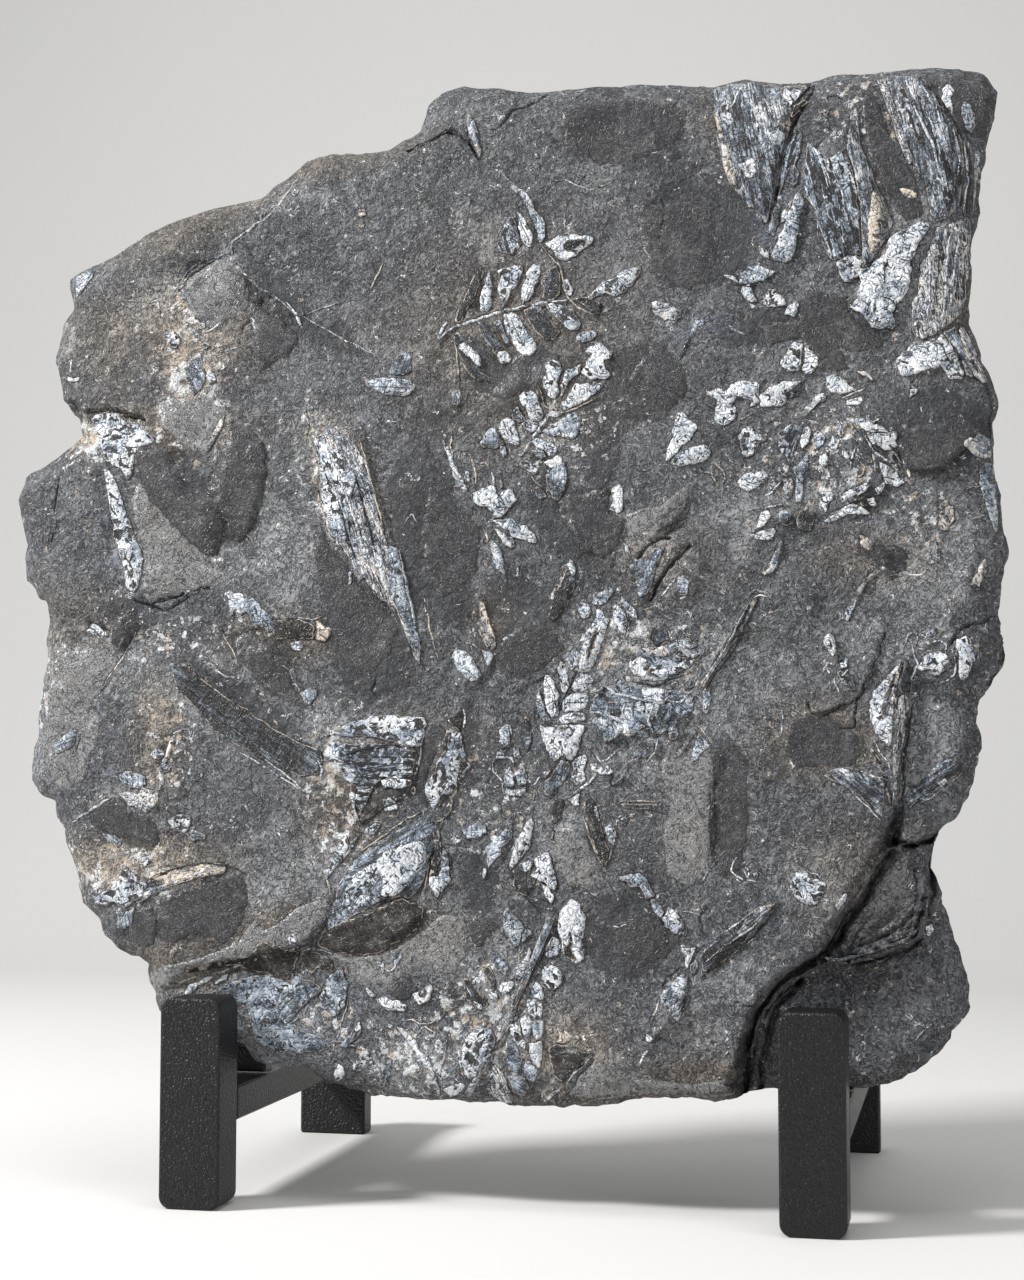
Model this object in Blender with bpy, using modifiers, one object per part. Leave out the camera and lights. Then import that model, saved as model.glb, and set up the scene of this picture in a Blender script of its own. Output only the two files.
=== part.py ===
"""A fossil fern plate: one split slab of dark rock with ferns in low relief on its face, held upright
by a black bar stand. Metres, +Z up. The fern face looks towards -Y and leans back a little.
The origin is on the floor, under the middle of the whole object's box."""

import math
import random

import bmesh
import bpy
import numpy as np
from mathutils import Vector, geometry, noise

# Stand: two front posts, each with an arm that runs back under the slab, a back rest and a rear leg.
POST_WIDTH = 0.025
POST_DEPTH = 0.021
POST_HEIGHT = 0.082
POST_CORNER = 0.0048
POST_SPACING = 0.243
BAR_RIM = 0.0009
STAND_DEPTH = 0.200
ARM_TOP = 0.0455
ARM_HEIGHT = 0.0135
REAR_LEG_WIDTH = 0.032
REAR_LEG_DEPTH = 0.012
REST_LENGTH = 0.200
REST_DEPTH = 0.010
CROSS_BAR_HEIGHT = 0.022
CROSS_BAR_DEPTH = 0.006
CROSS_BAR_UP = 0.120
GAP = 0.0003

# Slab
SLAB_THICKNESS = 0.030
SLAB_LEAN = math.radians(6.0)
FACE_BEHIND_POST = 0.0030
FACE_FOOT_HEIGHT = 0.050
EDGE_ROUND = 0.007
EDGE_DROP = 0.0028
GRID_STEP = 0.0089
BACK_STEP = 0.022
SEED = 41

# The face is drawn on a sheet of 1024 x 1280 units, as an eye at EYE sees it. SHEET_DISTANCE is how
# far, in sheet units, the sheet stands from that eye. cast() carries a drawn point onto the slab.
SHEET_CENTRE = (512.0, 640.0)
SHEET_DISTANCE = 2080.0
EYE_RANGE = 0.800
EYE_AZIMUTH = math.radians(12.5)
EYE_TILT = math.radians(4.2)
EYE_HEIGHT = 0.163
AIM_X = 0.0262
LEFT_POST_FROM_AIM = 0.130
POST_FRONT_Y = -STAND_DEPTH / 2
LEFT_POST_X = AIM_X - LEFT_POST_FROM_AIM
RIGHT_POST_X = LEFT_POST_X + POST_SPACING

EYE = Vector((
    AIM_X + EYE_RANGE * math.sin(EYE_AZIMUTH),
    POST_FRONT_Y - EYE_RANGE * math.cos(EYE_AZIMUTH),
    EYE_HEIGHT,
))
SIGHT = Vector((
    -math.sin(EYE_AZIMUTH) * math.cos(EYE_TILT),
    math.cos(EYE_AZIMUTH) * math.cos(EYE_TILT),
    math.sin(EYE_TILT),
))
SHEET_RIGHT = Vector((math.cos(EYE_AZIMUTH), math.sin(EYE_AZIMUTH), 0.0))
SHEET_UP = SHEET_RIGHT.cross(SIGHT)

FOOT = Vector((0.0, POST_FRONT_Y + POST_DEPTH + FACE_BEHIND_POST, FACE_FOOT_HEIGHT))
FACE_UP = Vector((0.0, math.sin(SLAB_LEAN), math.cos(SLAB_LEAN)))
FACE_OUT = Vector((0.0, -math.cos(SLAB_LEAN), math.sin(SLAB_LEAN)))

# The slab's outline on the sheet, clockwise from the top left shoulder.
OUTLINE = [
    (421, 132), (428, 106), (441, 93), (465, 87), (495, 89), (530, 93), (560, 90), (600, 87),
    (640, 85), (685, 85), (715, 87), (745, 80), (780, 83), (810, 82), (835, 75), (878, 73),
    (915, 69), (960, 67), (985, 74), (998, 92), (996, 115), (988, 140), (982, 172), (978, 213),
    (972, 250), (970, 300), (970, 325), (981, 355), (991, 378), (999, 408), (993, 428),
    (993, 470), (1000, 495), (1003, 526), (1009, 558), (1001, 598), (996, 614), (1004, 640),
    (1003, 660), (992, 685), (980, 699), (977, 716), (980, 742), (977, 768), (969, 795),
    (959, 815), (938, 832), (934, 850), (931, 868), (940, 888), (946, 908), (955, 940),
    (965, 970), (971, 990), (968, 1012), (955, 1033), (939, 1055), (915, 1071), (888, 1084),
    (870, 1087), (852, 1088), (830, 1086), (805, 1087), (785, 1089), (765, 1091), (750, 1093),
    (738, 1099), (715, 1102), (690, 1098), (665, 1097), (640, 1098), (622, 1104), (590, 1107),
    (560, 1107), (520, 1104), (480, 1101), (440, 1099), (405, 1098), (375, 1095), (350, 1087),
    (325, 1081), (314, 1070), (303, 1065), (280, 1067), (255, 1062), (245, 1045), (225, 1035),
    (200, 1030), (180, 1022), (160, 1009), (152, 985), (149, 963), (134, 956), (117, 946),
    (104, 936), (98, 917), (83, 903), (80, 880), (72, 858), (66, 842), (65, 828), (57, 818),
    (56, 801), (40, 791), (32, 780), (33, 760), (38, 735), (40, 705), (44, 680), (48, 660),
    (46, 640), (50, 620), (46, 600), (27, 580), (25, 560), (28, 545), (22, 518), (18, 500),
    (26, 478), (42, 469), (62, 454), (84, 438), (80, 418), (64, 400), (56, 362), (61, 340),
    (64, 323), (74, 309), (69, 279), (90, 267), (118, 254), (140, 239), (163, 226), (200, 213),
    (238, 203), (262, 198), (277, 184), (293, 175), (308, 162), (330, 155), (358, 155),
    (387, 150), (403, 141),
]

# Lower layers of the rock at the lower right, each inside a loop: loop, depth below the face.
LAYERS = [
    ([(822, 958), (831, 944), (840, 924), (852, 904), (864, 884), (874, 864), (884, 851),
      (896, 845), (912, 840), (960, 832), (960, 845), (933, 870), (928, 893), (924, 915),
      (917, 934), (904, 943), (870, 954), (842, 962)], 0.0065),
    ([(738, 1130), (742, 1080), (747, 1055), (754, 1030), (764, 1006), (777, 991), (792, 979),
      (808, 969), (822, 960), (842, 963), (870, 955), (905, 944), (918, 935), (925, 915),
      (929, 893), (934, 870), (1010, 860), (1010, 1130)], 0.0135),
]

# Ledges: a line with its high side on the left hand of whoever walks along it, height, how far it fades.
LEDGES = [
    ([(299, 178), (273, 212), (233, 241), (231, 252), (243, 273), (280, 300), (304, 332)], 0.0026, 0.030),
    ([(231, 252), (200, 262), (182, 280), (165, 296)], 0.0016, 0.018),
    ([(64, 405), (82, 413), (125, 413), (147, 420)], 0.0030, 0.016),
    ([(895, 440), (905, 465), (925, 473), (945, 468), (972, 442)], 0.0030, 0.022),
    ([(160, 990), (200, 966), (260, 958), (305, 943), (332, 915)], 0.0026, 0.022),
    ([(226, 867), (180, 880), (150, 893), (118, 908)], 0.0024, 0.020),
    ([(706, 872), (713, 830), (711, 790), (722, 762), (712, 742)], 0.0020, 0.026),
    ([(899, 812), (903, 775), (905, 740), (909, 712), (905, 680), (907, 655)], 0.0056, 0.026),
    ([(205, 588), (190, 591), (165, 600), (148, 607)], 0.0018, 0.016),
    ([(855, 705), (870, 678), (880, 652), (884, 630)], 0.0016, 0.018),
    ([(648, 545), (660, 533), (672, 524), (690, 497)], 0.0018, 0.020),
    ([(808, 710), (820, 714), (845, 704), (856, 700)], 0.0015, 0.014),
    ([(112, 655), (124, 640), (135, 622)], 0.0022, 0.016),
    ([(452, 690), (480, 686), (492, 668), (497, 650)], 0.0012, 0.018),
    ([(590, 820), (562, 824), (548, 842), (520, 868)], 0.0014, 0.018),
    ([(600, 868), (588, 884), (572, 898)], 0.0014, 0.018),
    ([(925, 899), (903, 914), (882, 925), (855, 943)], 0.0022, 0.010),
]

# Open cracks: line, width, depth.
CRACKS = [
    ([(897, 818), (888, 826), (885, 842), (876, 858), (865, 878), (853, 898), (841, 918),
      (832, 938), (822, 952), (806, 964), (790, 975), (773, 990), (760, 1006), (750, 1032),
      (744, 1058), (738, 1090)], 0.0044, 0.0080),
    ([(815, 88), (797, 115), (786, 145), (778, 180), (774, 216)], 0.0026, 0.0022),
    ([(408, 150), (428, 141), (447, 132), (470, 145), (481, 160)], 0.0014, 0.0014),
    ([(632, 565), (645, 550), (657, 540), (670, 537)], 0.0018, 0.0016),
    ([(650, 600), (660, 580), (675, 560), (690, 545)], 0.0018, 0.0016),
    ([(437, 822), (431, 850), (426, 876), (414, 898)], 0.0026, 0.0016),
    ([(966, 145), (970, 180), (968, 215)], 0.0020, 0.0020),
]

# Rounded stems and midribs: line, width, height.
STEMS = [
    ([(437, 341), (455, 325), (470, 317), (495, 310), (530, 305), (572, 300), (600, 299)], 0.0024, 0.0010),
    ([(553, 408), (535, 435), (518, 460)], 0.0022, 0.0008),
    ([(600, 640), (583, 668), (570, 685), (560, 706)], 0.0020, 0.0009),
    ([(558, 905), (546, 930), (537, 957), (522, 990), (506, 1025), (490, 1060), (474, 1090)], 0.0046, 0.0012),
    ([(640, 680), (662, 683), (686, 676)], 0.0018, 0.0008),
    ([(760, 597), (745, 606), (735, 627), (712, 662), (703, 700)], 0.0026, 0.0012),
    ([(880, 572), (862, 590), (847, 622)], 0.0026, 0.0012),
    ([(845, 425), (870, 445), (902, 465)], 0.0022, 0.0010),
]

# Leaflets as pointed ovals: base x, base y, tip x, tip y, width on the sheet.
LEAFLETS = [
    (466, 320, 481, 270, 12), (485, 312, 490, 268, 10), (501, 306, 517, 265, 13), (526, 302, 538, 263, 12),
    (457, 330, 486, 376, 11), (479, 318, 506, 358, 16), (504, 317, 536, 352, 12), (524, 311, 551, 340, 20),
    (548, 305, 577, 330, 13), (598, 298, 640, 266, 20),
    (516, 210, 508, 255, 15), (524, 208, 536, 246, 11), (543, 246, 593, 238, 13),
    (550, 411, 514, 401, 16), (529, 441, 489, 431, 15), (548, 416, 585, 430, 13), (531, 448, 566, 454, 15),
    (365, 383, 414, 388, 14), (502, 518, 538, 543, 13), (487, 540, 507, 578, 14), (602, 502, 634, 502, 16),
    (571, 558, 553, 622, 17), (480, 600, 493, 648, 16),
    (606, 610, 584, 670, 17), (570, 684, 596, 678, 14), (561, 703, 592, 702, 18), (557, 718, 586, 716, 12),
    (570, 682, 575, 648, 14), (563, 694, 554, 659, 14), (557, 710, 545, 673, 15), (550, 722, 538, 692, 12),
    (583, 788, 605, 866, 15), (600, 812, 615, 842, 12), (532, 816, 507, 869, 14), (511, 826, 483, 880, 18),
    (517, 866, 552, 908, 20), (559, 905, 583, 962, 26), (545, 948, 554, 926, 12), (546, 966, 562, 988, 18),
    (505, 898, 517, 944, 20), (489, 948, 508, 976, 14), (531, 944, 508, 984, 12), (463, 978, 489, 1006, 13),
    (668, 464, 712, 449, 18), (739, 481, 770, 471, 16), (704, 396, 762, 388, 18), (763, 393, 804, 384, 13),
    (825, 523, 870, 505, 15), (798, 512, 750, 536, 20), (782, 538, 765, 580, 15), (828, 632, 838, 665, 12),
    (612, 640, 630, 603, 15), (700, 640, 668, 655, 14), (820, 470, 832, 440, 14), (905, 378, 958, 350, 20),
    (690, 700, 668, 762, 16), (653, 885, 682, 932, 18), (560, 745, 580, 775, 15), (610, 745, 632, 725, 16),
    (645, 755, 668, 738, 16),
]

# Flakes, films and lumps as loops: loop, height (a pit is below zero), width of the sloping rim.
FLAKES = [
    ([(905, 652), (893, 690), (877, 715), (869, 745), (874, 762), (888, 777), (893, 816),
      (900, 805), (902, 760), (906, 710), (906, 680)], 0.0026, 0.0016),
    ([(343, 912), (340, 890), (352, 870), (372, 852), (400, 838), (428, 838), (430, 855),
      (422, 878), (400, 899), (370, 908)], 0.0012, 0.0016),
    ([(322, 940), (330, 926), (360, 912), (396, 899), (421, 903), (424, 914), (412, 930),
      (388, 946), (355, 955), (332, 950)], 0.0018, 0.0018),
    ([(340, 716), (372, 713), (424, 716), (421, 742), (415, 780), (400, 800), (365, 815),
      (352, 790), (338, 770), (326, 745)], 0.0012, 0.0012),
    ([(446, 727), (464, 733), (460, 765), (452, 788), (437, 808), (424, 790), (432, 764)], 0.0013, 0.0011),
    ([(308, 433), (318, 490), (330, 545), (360, 585), (390, 608), (405, 650), (419, 668),
      (416, 625), (405, 578), (391, 525), (373, 465), (362, 420)], 0.0014, 0.0016),
    ([(135, 447), (168, 450), (190, 495), (225, 500), (218, 553), (200, 557), (180, 535), (138, 482)],
     0.0016, 0.0026),
    ([(226, 432), (262, 440), (267, 470), (257, 518), (238, 540), (215, 502), (216, 460)], 0.0015, 0.0026),
    ([(229, 632), (262, 622), (298, 628), (304, 662), (316, 704), (300, 710), (262, 680), (236, 662)],
     -0.0014, 0.0022),
    ([(172, 662), (200, 668), (262, 712), (318, 748), (302, 775), (262, 752), (205, 718)], -0.0013, 0.0026),
    ([(453, 649), (466, 648), (481, 664), (480, 680), (468, 684), (456, 668)], 0.0011, 0.0011),
    ([(538, 728), (566, 722), (580, 733), (578, 757), (556, 764), (543, 752)], 0.0010, 0.0011),
    ([(584, 350), (600, 341), (612, 350), (611, 370), (594, 381), (584, 370)], 0.0010, 0.0010),
    ([(540, 984), (547, 1008), (541, 1058), (520, 1092), (492, 1092), (500, 1050), (518, 1018)],
     0.0011, 0.0011),
    ([(462, 1034), (480, 1026), (496, 1036), (496, 1050), (480, 1076), (464, 1070), (457, 1050)],
     0.0014, 0.0012),
    ([(546, 1024), (566, 1026), (592, 1048), (578, 1066), (556, 1084), (549, 1058)], 0.0013, 0.0012),
    ([(712, 108), (745, 96), (790, 100), (782, 140), (775, 185), (765, 224), (735, 190), (720, 150)],
     0.0020, 0.0020),
    ([(795, 190), (808, 206), (801, 230), (794, 256), (772, 262), (773, 243), (786, 220)], 0.0012, 0.0012),
    ([(802, 172), (815, 150), (850, 112), (862, 160), (884, 208), (888, 236), (868, 268),
      (848, 282), (830, 260), (812, 212)], 0.0018, 0.0018),
    ([(930, 222), (934, 234), (914, 276), (898, 324), (874, 331), (850, 310), (860, 282),
      (884, 246)], 0.0012, 0.0012),
    ([(880, 100), (905, 92), (955, 90), (976, 110), (974, 170), (966, 214), (940, 210),
      (916, 168), (898, 135)], 0.0022, 0.0030),
    ([(938, 232), (972, 226), (962, 308), (926, 336), (912, 328), (922, 272)], 0.0014, 0.0016),
    ([(820, 772), (848, 767), (874, 780), (888, 800), (880, 818), (852, 795)], 0.0014, 0.0014),
    ([(906, 800), (938, 757), (962, 764), (945, 782), (915, 806)], 0.0012, 0.0014),
    ([(704, 944), (735, 925), (775, 904), (770, 918), (738, 944), (704, 972)], 0.0014, 0.0014),
    ([(660, 990), (682, 972), (690, 985), (684, 1010), (664, 1035), (645, 1045)], 0.0018, 0.0018),
    ([(790, 880), (802, 872), (824, 874), (826, 890), (808, 908), (796, 900)], 0.0012, 0.0014),
    ([(752, 596), (800, 560), (828, 590), (810, 640), (768, 660), (748, 630)], 0.0016, 0.0060),
    ([(60, 470), (98, 440), (108, 500), (130, 580), (90, 596), (50, 560)], 0.0018, 0.0040),
    ([(890, 640), (950, 632), (992, 636), (985, 676), (940, 690), (908, 676)], 0.0014, 0.0030),
    ([(640, 545), (690, 520), (712, 560), (690, 612), (655, 612)], 0.0018, 0.0040),
    ([(745, 430), (790, 400), (850, 410), (900, 440), (890, 492), (820, 525), (760, 500)], 0.0012, 0.0030),
    ([(560, 830), (588, 824), (602, 868), (585, 890), (560, 898), (556, 860)], 0.0013, 0.0020),
    ([(630, 712), (660, 700), (680, 722), (668, 752), (636, 760), (622, 736)], 0.0011, 0.0016),
    ([(185, 258), (212, 258), (205, 276), (182, 284)], -0.0015, 0.0014),
    ([(885, 548), (912, 548), (918, 566), (898, 574), (884, 566)], -0.0022, 0.0018),
]


def cast(x, y, depth=0.0):
    """Where the sight line through a sheet point meets the plane `depth` behind the face: (across, up)."""
    line = SIGHT + SHEET_RIGHT * ((x - SHEET_CENTRE[0]) / SHEET_DISTANCE)
    line -= SHEET_UP * ((y - SHEET_CENTRE[1]) / SHEET_DISTANCE)
    plane_point = FOOT - FACE_OUT * depth
    hit = EYE + line * ((plane_point - EYE).dot(FACE_OUT) / line.dot(FACE_OUT))
    return hit.x, (hit - FOOT).dot(FACE_UP)


def cast_all(points, depth=0.0):
    return np.array([cast(x, y, depth) for x, y in points])


def in_space(across, up, out):
    """The point in the object's frame of a slab point that stands `out` in front of the face."""
    return Vector((across, 0.0, 0.0)) + Vector((0.0, FOOT.y, FOOT.z)) + FACE_UP * up + FACE_OUT * out


def line_fit(points, line):
    """For each point: distance to the line, signed side (left is above zero), and share of its length."""
    starts = line[:-1]
    runs = line[1:] - starts
    lengths = np.hypot(runs[:, 0], runs[:, 1])
    from_start = points[:, None, :] - starts[None, :, :]
    share = np.clip((from_start * runs).sum(2) / (lengths**2), 0.0, 1.0)
    away = from_start - runs[None, :, :] * share[:, :, None]
    distance = np.hypot(away[:, :, 0], away[:, :, 1])
    nearest = distance.argmin(1)
    rows = np.arange(len(points))
    run, offset = runs[nearest], from_start[rows, nearest]
    turn = run[:, 0] * offset[:, 1] - run[:, 1] * offset[:, 0]
    travelled = np.concatenate([[0.0], np.cumsum(lengths)])
    along = (travelled[nearest] + share[rows, nearest] * lengths[nearest]) / travelled[-1]
    return distance[rows, nearest], np.sign(turn), along


def depth_inside(points, loop):
    """How far each point is inside a closed loop; below zero outside."""
    closed = np.vstack([loop, loop[:1]])
    distance, _, _ = line_fit(points, closed)
    x, y = points[:, 0], points[:, 1]
    inside = np.zeros(len(points), bool)
    for (x0, y0), (x1, y1) in zip(closed[:-1], closed[1:]):
        if y0 != y1:
            inside ^= ((y0 > y) != (y1 > y)) & (x < (x1 - x0) * (y - y0) / (y1 - y0) + x0)
    return np.where(inside, distance, -distance)


def eased(share):
    share = np.clip(share, 0.0, 1.0)
    return share * share * (3.0 - 2.0 * share)


def moved_sideways(line, distance, closed=False):
    """The line with every point moved to its left by `distance`."""
    before = np.roll(line, 1, axis=0)
    after = np.roll(line, -1, axis=0)
    if not closed:
        before[0] = line[0]
        after[-1] = line[-1]
    run = after - before
    run /= np.hypot(run[:, 0], run[:, 1])[:, None]
    return line + np.stack([-run[:, 1], run[:, 0]], axis=1) * distance


def is_clockwise(loop):
    x, y = loop[:, 0], loop[:, 1]
    return (x * np.roll(y, -1) - y * np.roll(x, -1)).sum() < 0.0


def leaflet_loop(base_x, base_y, tip_x, tip_y, width):
    """A pointed oval on the sheet, widest a little before its middle."""
    run_x, run_y = tip_x - base_x, tip_y - base_y
    length = math.hypot(run_x, run_y)
    side_x, side_y = -run_y / length * width / 2, run_x / length * width / 2
    stations = [(0.22, 0.78), (0.48, 1.0), (0.78, 0.66)]
    there = [(base_x + run_x * t + side_x * w, base_y + run_y * t + side_y * w) for t, w in stations]
    back = [(base_x + run_x * t - side_x * w, base_y + run_y * t - side_y * w) for t, w in stations]
    return [(base_x, base_y), *there, (tip_x, tip_y), *reversed(back)]


LEAFLET_HEIGHT = 0.0010
LEAFLET_RIM = 0.0009
LEDGE_FACE = 0.0005
CRACK_LAYER_DEPTH = 0.004

outline_face = cast_all(OUTLINE)
layers = [(cast_all(loop, depth / 2), depth) for loop, depth in LAYERS]
ledges = [(cast_all(line), height, fade) for line, height, fade in LEDGES]
cracks = [(cast_all(CRACKS[0][0], CRACK_LAYER_DEPTH), *CRACKS[0][1:])]
cracks += [(cast_all(line), width, depth) for line, width, depth in CRACKS[1:]]
stems = [(cast_all(line), width, height) for line, width, height in STEMS]
raised = [(cast_all(leaflet_loop(*leaf)), LEAFLET_HEIGHT, LEAFLET_RIM) for leaf in LEAFLETS]
raised += [(cast_all(loop), height, rim) for loop, height, rim in FLAKES]


def waves(points, size, height, shift):
    """Smooth random swells: size across, height of a swell, and which of the endless patterns."""
    return np.array([noise.noise(Vector((u / size, w / size, shift))) for u, w in points]) * height


def relief(points):
    """How far the face stands in front of its plane at each slab point."""
    out = waves(points, 0.060, 0.0022, 1.3) + waves(points, 0.021, 0.0011, 7.9)
    for loop, depth in layers:
        out -= depth * eased(depth_inside(points, loop) / 0.0012)
    for line, height, fade in ledges:
        distance, side, along = line_fit(points, line)
        taper = eased(along / 0.12) * eased((1.0 - along) / 0.12)
        out += height / 2 * side * np.clip(distance / LEDGE_FACE, 0, 1) * np.exp(-distance / fade) * taper
    for line, width, depth in cracks:
        distance, _, along = line_fit(points, line)
        taper = eased(along / 0.08 + 0.3) * eased((1.0 - along) / 0.08 + 0.3)
        out -= depth * taper * np.clip(1.0 - 2.0 * distance / width, 0.0, 1.0)
    for line, width, height in stems:
        distance, _, along = line_fit(points, line)
        taper = eased(along / 0.10 + 0.2) * eased((1.0 - along) / 0.10 + 0.2)
        out += height * taper * np.sqrt(np.clip(1.0 - (2.0 * distance / width) ** 2, 0.0, 1.0))
    for loop, height, rim in raised:
        out += height * np.clip(depth_inside(points, loop) / rim, 0.0, 1.0)
    return out


def slab_rings():
    """The slab's edge as four rings of equal count, each point as (across, up, out): the face's rim,
    the widest ring, the back's rim and the back's own edge."""
    random.seed(SEED)
    sheet = np.array(OUTLINE, float)
    # On the sheet y runs down, so the left of a clockwise walk there is towards the middle.
    inwards = moved_sideways(sheet, 1.0, closed=True) - sheet
    rim, widest, back_rim, back = [], [], [], []

    def ring_point(i, inset, out):
        x, y = sheet[i] + inwards[i] * inset
        return (*cast(x, y, -out), out)

    for i in range(len(sheet)):
        rim_inset = 7.0 + 4.0 * max(0.0, -inwards[i][0]) + random.uniform(-1.5, 2.0)
        at_face = np.array([ring_point(i, rim_inset, 0.0)[:2]])
        rim_out = float(relief(at_face)[0]) - EDGE_DROP
        widest_out = max(rim_out - 0.0055, -SLAB_THICKNESS + 0.009)
        back_rim_out = min(widest_out - 0.004, -SLAB_THICKNESS + 0.007)
        rim.append(ring_point(i, rim_inset, rim_out))
        widest.append(ring_point(i, 0.0, widest_out))
        back_rim.append(ring_point(i, 3.0 + random.uniform(0.0, 5.0), back_rim_out))
        back.append(ring_point(i, 12.0 + random.uniform(0.0, 8.0), -SLAB_THICKNESS))
    return [[lifted_off_arms(place) for place in ring] for ring in (rim, widest, back_rim, back)]


def over_an_arm(across):
    """Whether a slab point is above one of the stand's arms, or within 6 mm of one."""
    reach = POST_WIDTH / 2 + 0.006
    return abs(across - LEFT_POST_X) < reach or abs(across - RIGHT_POST_X) < reach


def lifted_off_arms(place):
    """The edge where an arm runs under the slab is chipped level with the arm's top."""
    across, up, out = place
    floor_up = (ARM_TOP + 2 * GAP - FOOT.z - out * FACE_OUT.z) / FACE_UP.z
    if over_an_arm(across) and up < floor_up:
        up = floor_up
    return across, up, out


def constraint_lines():
    """The lines that the face's triangles follow, as (points, closed)."""
    lines = []
    for loop, _ in layers:
        turn = -1.0 if is_clockwise(loop) else 1.0
        lines += [(loop, True), (moved_sideways(loop, 0.0012 * turn, closed=True), True)]
    for line, _, _ in ledges:
        lines += [(moved_sideways(line, LEDGE_FACE), False), (moved_sideways(line, -LEDGE_FACE), False)]
    for line, width, _ in cracks + stems:
        for sideways in (-width / 2, 0.0, width / 2):
            lines.append((moved_sideways(line, sideways), False))
    for loop, _, rim in raised:
        turn = -1.0 if is_clockwise(loop) else 1.0
        lines += [(loop, True), (moved_sideways(loop, rim * turn, closed=True), True)]
    return lines


def filled(ring, lines, step, keep_off, seed):
    """Triangles that fill a ring and follow the lines inside it.

    Gives (points, triangles, index in points of each ring point)."""
    random.seed(seed)
    ring = np.array(ring)
    points = [Vector(p) for p in ring]
    edges = []
    taken = [ring]
    for line, closed in lines:
        clear = depth_inside(line, ring) > keep_off
        index = {}
        for i in range(len(line) if closed else len(line) - 1):
            j = (i + 1) % len(line)
            if clear[i] and clear[j]:
                for k in (i, j):
                    if k not in index:
                        index[k] = len(points)
                        points.append(Vector(line[k]))
                edges.append((index[i], index[j]))
        taken.append(line[clear])
    low, high = ring.min(0), ring.max(0)
    free = []
    for row, up in enumerate(np.arange(low[1], high[1], step * 0.87)):
        for across in np.arange(low[0] + step / 2 * (row % 2), high[0], step):
            free.append((across + random.uniform(-0.2, 0.2) * step, up + random.uniform(-0.2, 0.2) * step))
    free = np.array(free)
    free = free[depth_inside(free, ring) > step * 0.45]
    for line in taken:
        if len(line):
            apart = free[:, None, :] - line[None, :, :]
            free = free[np.hypot(apart[:, :, 0], apart[:, :, 1]).min(1) > step * 0.42]
    points += [Vector(p) for p in free]
    ring_face = [list(range(len(ring)))]
    places, _, faces, origins, _, _ = geometry.delaunay_2d_cdt(points, edges, ring_face, 1, 1e-5)
    index_of = {}
    for i, from_points in enumerate(origins):
        for j in from_points:
            index_of[j] = i
    return np.array(places), faces, [index_of[i] for i in range(len(ring))]


def slab_mesh():
    rim, widest, back_rim, back = slab_rings()
    rim_loop = [place[:2] for place in rim]
    back_loop = [place[:2] for place in back]

    face_points, face_triangles, face_ring = filled(
        rim_loop, constraint_lines(), GRID_STEP, 0.0022, SEED + 1
    )
    out = relief(face_points)
    from_edge = depth_inside(face_points, np.array(rim_loop))
    out -= EDGE_DROP * (1.0 - eased(from_edge / EDGE_ROUND)) ** 2
    for i, place in zip(face_ring, rim):
        out[i] = place[2]

    back_points, back_triangles, back_ring = filled(back_loop, [], BACK_STEP, 0.0, SEED + 2)
    hollows = 0.0008 + waves(back_points, 0.045, 0.0012, 3.1)
    back_out = -SLAB_THICKNESS + np.clip(hollows, 0.0, 0.003)

    bm = bmesh.new()
    face_verts = [bm.verts.new(in_space(u, w, h)) for (u, w), h in zip(face_points, out)]
    back_verts = [bm.verts.new(in_space(u, w, h)) for (u, w), h in zip(back_points, back_out)]
    for triangle in face_triangles:
        bm.faces.new([face_verts[i] for i in triangle])
    for triangle in back_triangles:
        bm.faces.new([back_verts[i] for i in reversed(triangle)])
    edge_rings = [
        [face_verts[i] for i in face_ring],
        [bm.verts.new(in_space(*p)) for p in widest],
        [bm.verts.new(in_space(*p)) for p in back_rim],
        [back_verts[i] for i in back_ring],
    ]
    count = len(rim)
    for front, behind in zip(edge_rings[:-1], edge_rings[1:]):
        for i in range(count):
            j = (i + 1) % count
            bm.faces.new((front[i], front[j], behind[j]))
            bm.faces.new((front[i], behind[j], behind[i]))
    loose = [v for v in bm.verts if not v.link_faces]
    bmesh.ops.delete(bm, geom=loose, context="VERTS")
    bmesh.ops.recalc_face_normals(bm, faces=bm.faces)
    mesh = bpy.data.meshes.new("fossil_slab")
    bm.to_mesh(mesh)
    bm.free()
    return mesh


def material(name, colour, roughness, metallic):
    made = bpy.data.materials.new(name)
    made.use_nodes = True
    shader = made.node_tree.nodes["Principled BSDF"]
    shader.inputs["Base Color"].default_value = (*colour, 1.0)
    shader.inputs["Roughness"].default_value = roughness
    shader.inputs["Metallic"].default_value = metallic
    return made


def new_object(name, mesh, collection, finish):
    made = bpy.data.objects.new(name, mesh)
    made.data.materials.append(finish)
    collection.objects.link(made)
    return made


def bar(name, low, high, collection, finish, corner=0.0, tilt=0.0):
    """A flat steel bar between two corners, its edges eased; `corner` rounds the four edges along Y."""
    low, high = Vector(low), Vector(high)
    bm = bmesh.new()
    bmesh.ops.create_cube(bm, size=1.0)
    bmesh.ops.scale(bm, vec=high - low, verts=bm.verts)
    if corner:
        along_y = [e for e in bm.edges if abs((e.verts[0].co - e.verts[1].co).y) > 1e-6]
        bmesh.ops.bevel(bm, geom=along_y, offset=corner, segments=3, profile=0.5, affect="EDGES")
    mesh = bpy.data.meshes.new(name)
    bm.to_mesh(mesh)
    bm.free()
    made = new_object(name, mesh, collection, finish)
    made.location = (low + high) / 2
    made.rotation_euler = (-tilt, 0.0, 0.0)
    rim = made.modifiers.new("rim", "BEVEL")
    rim.width = BAR_RIM
    rim.segments = 1
    rim.limit_method = "ANGLE"
    rim.angle_limit = math.radians(40.0)
    return made


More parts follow.
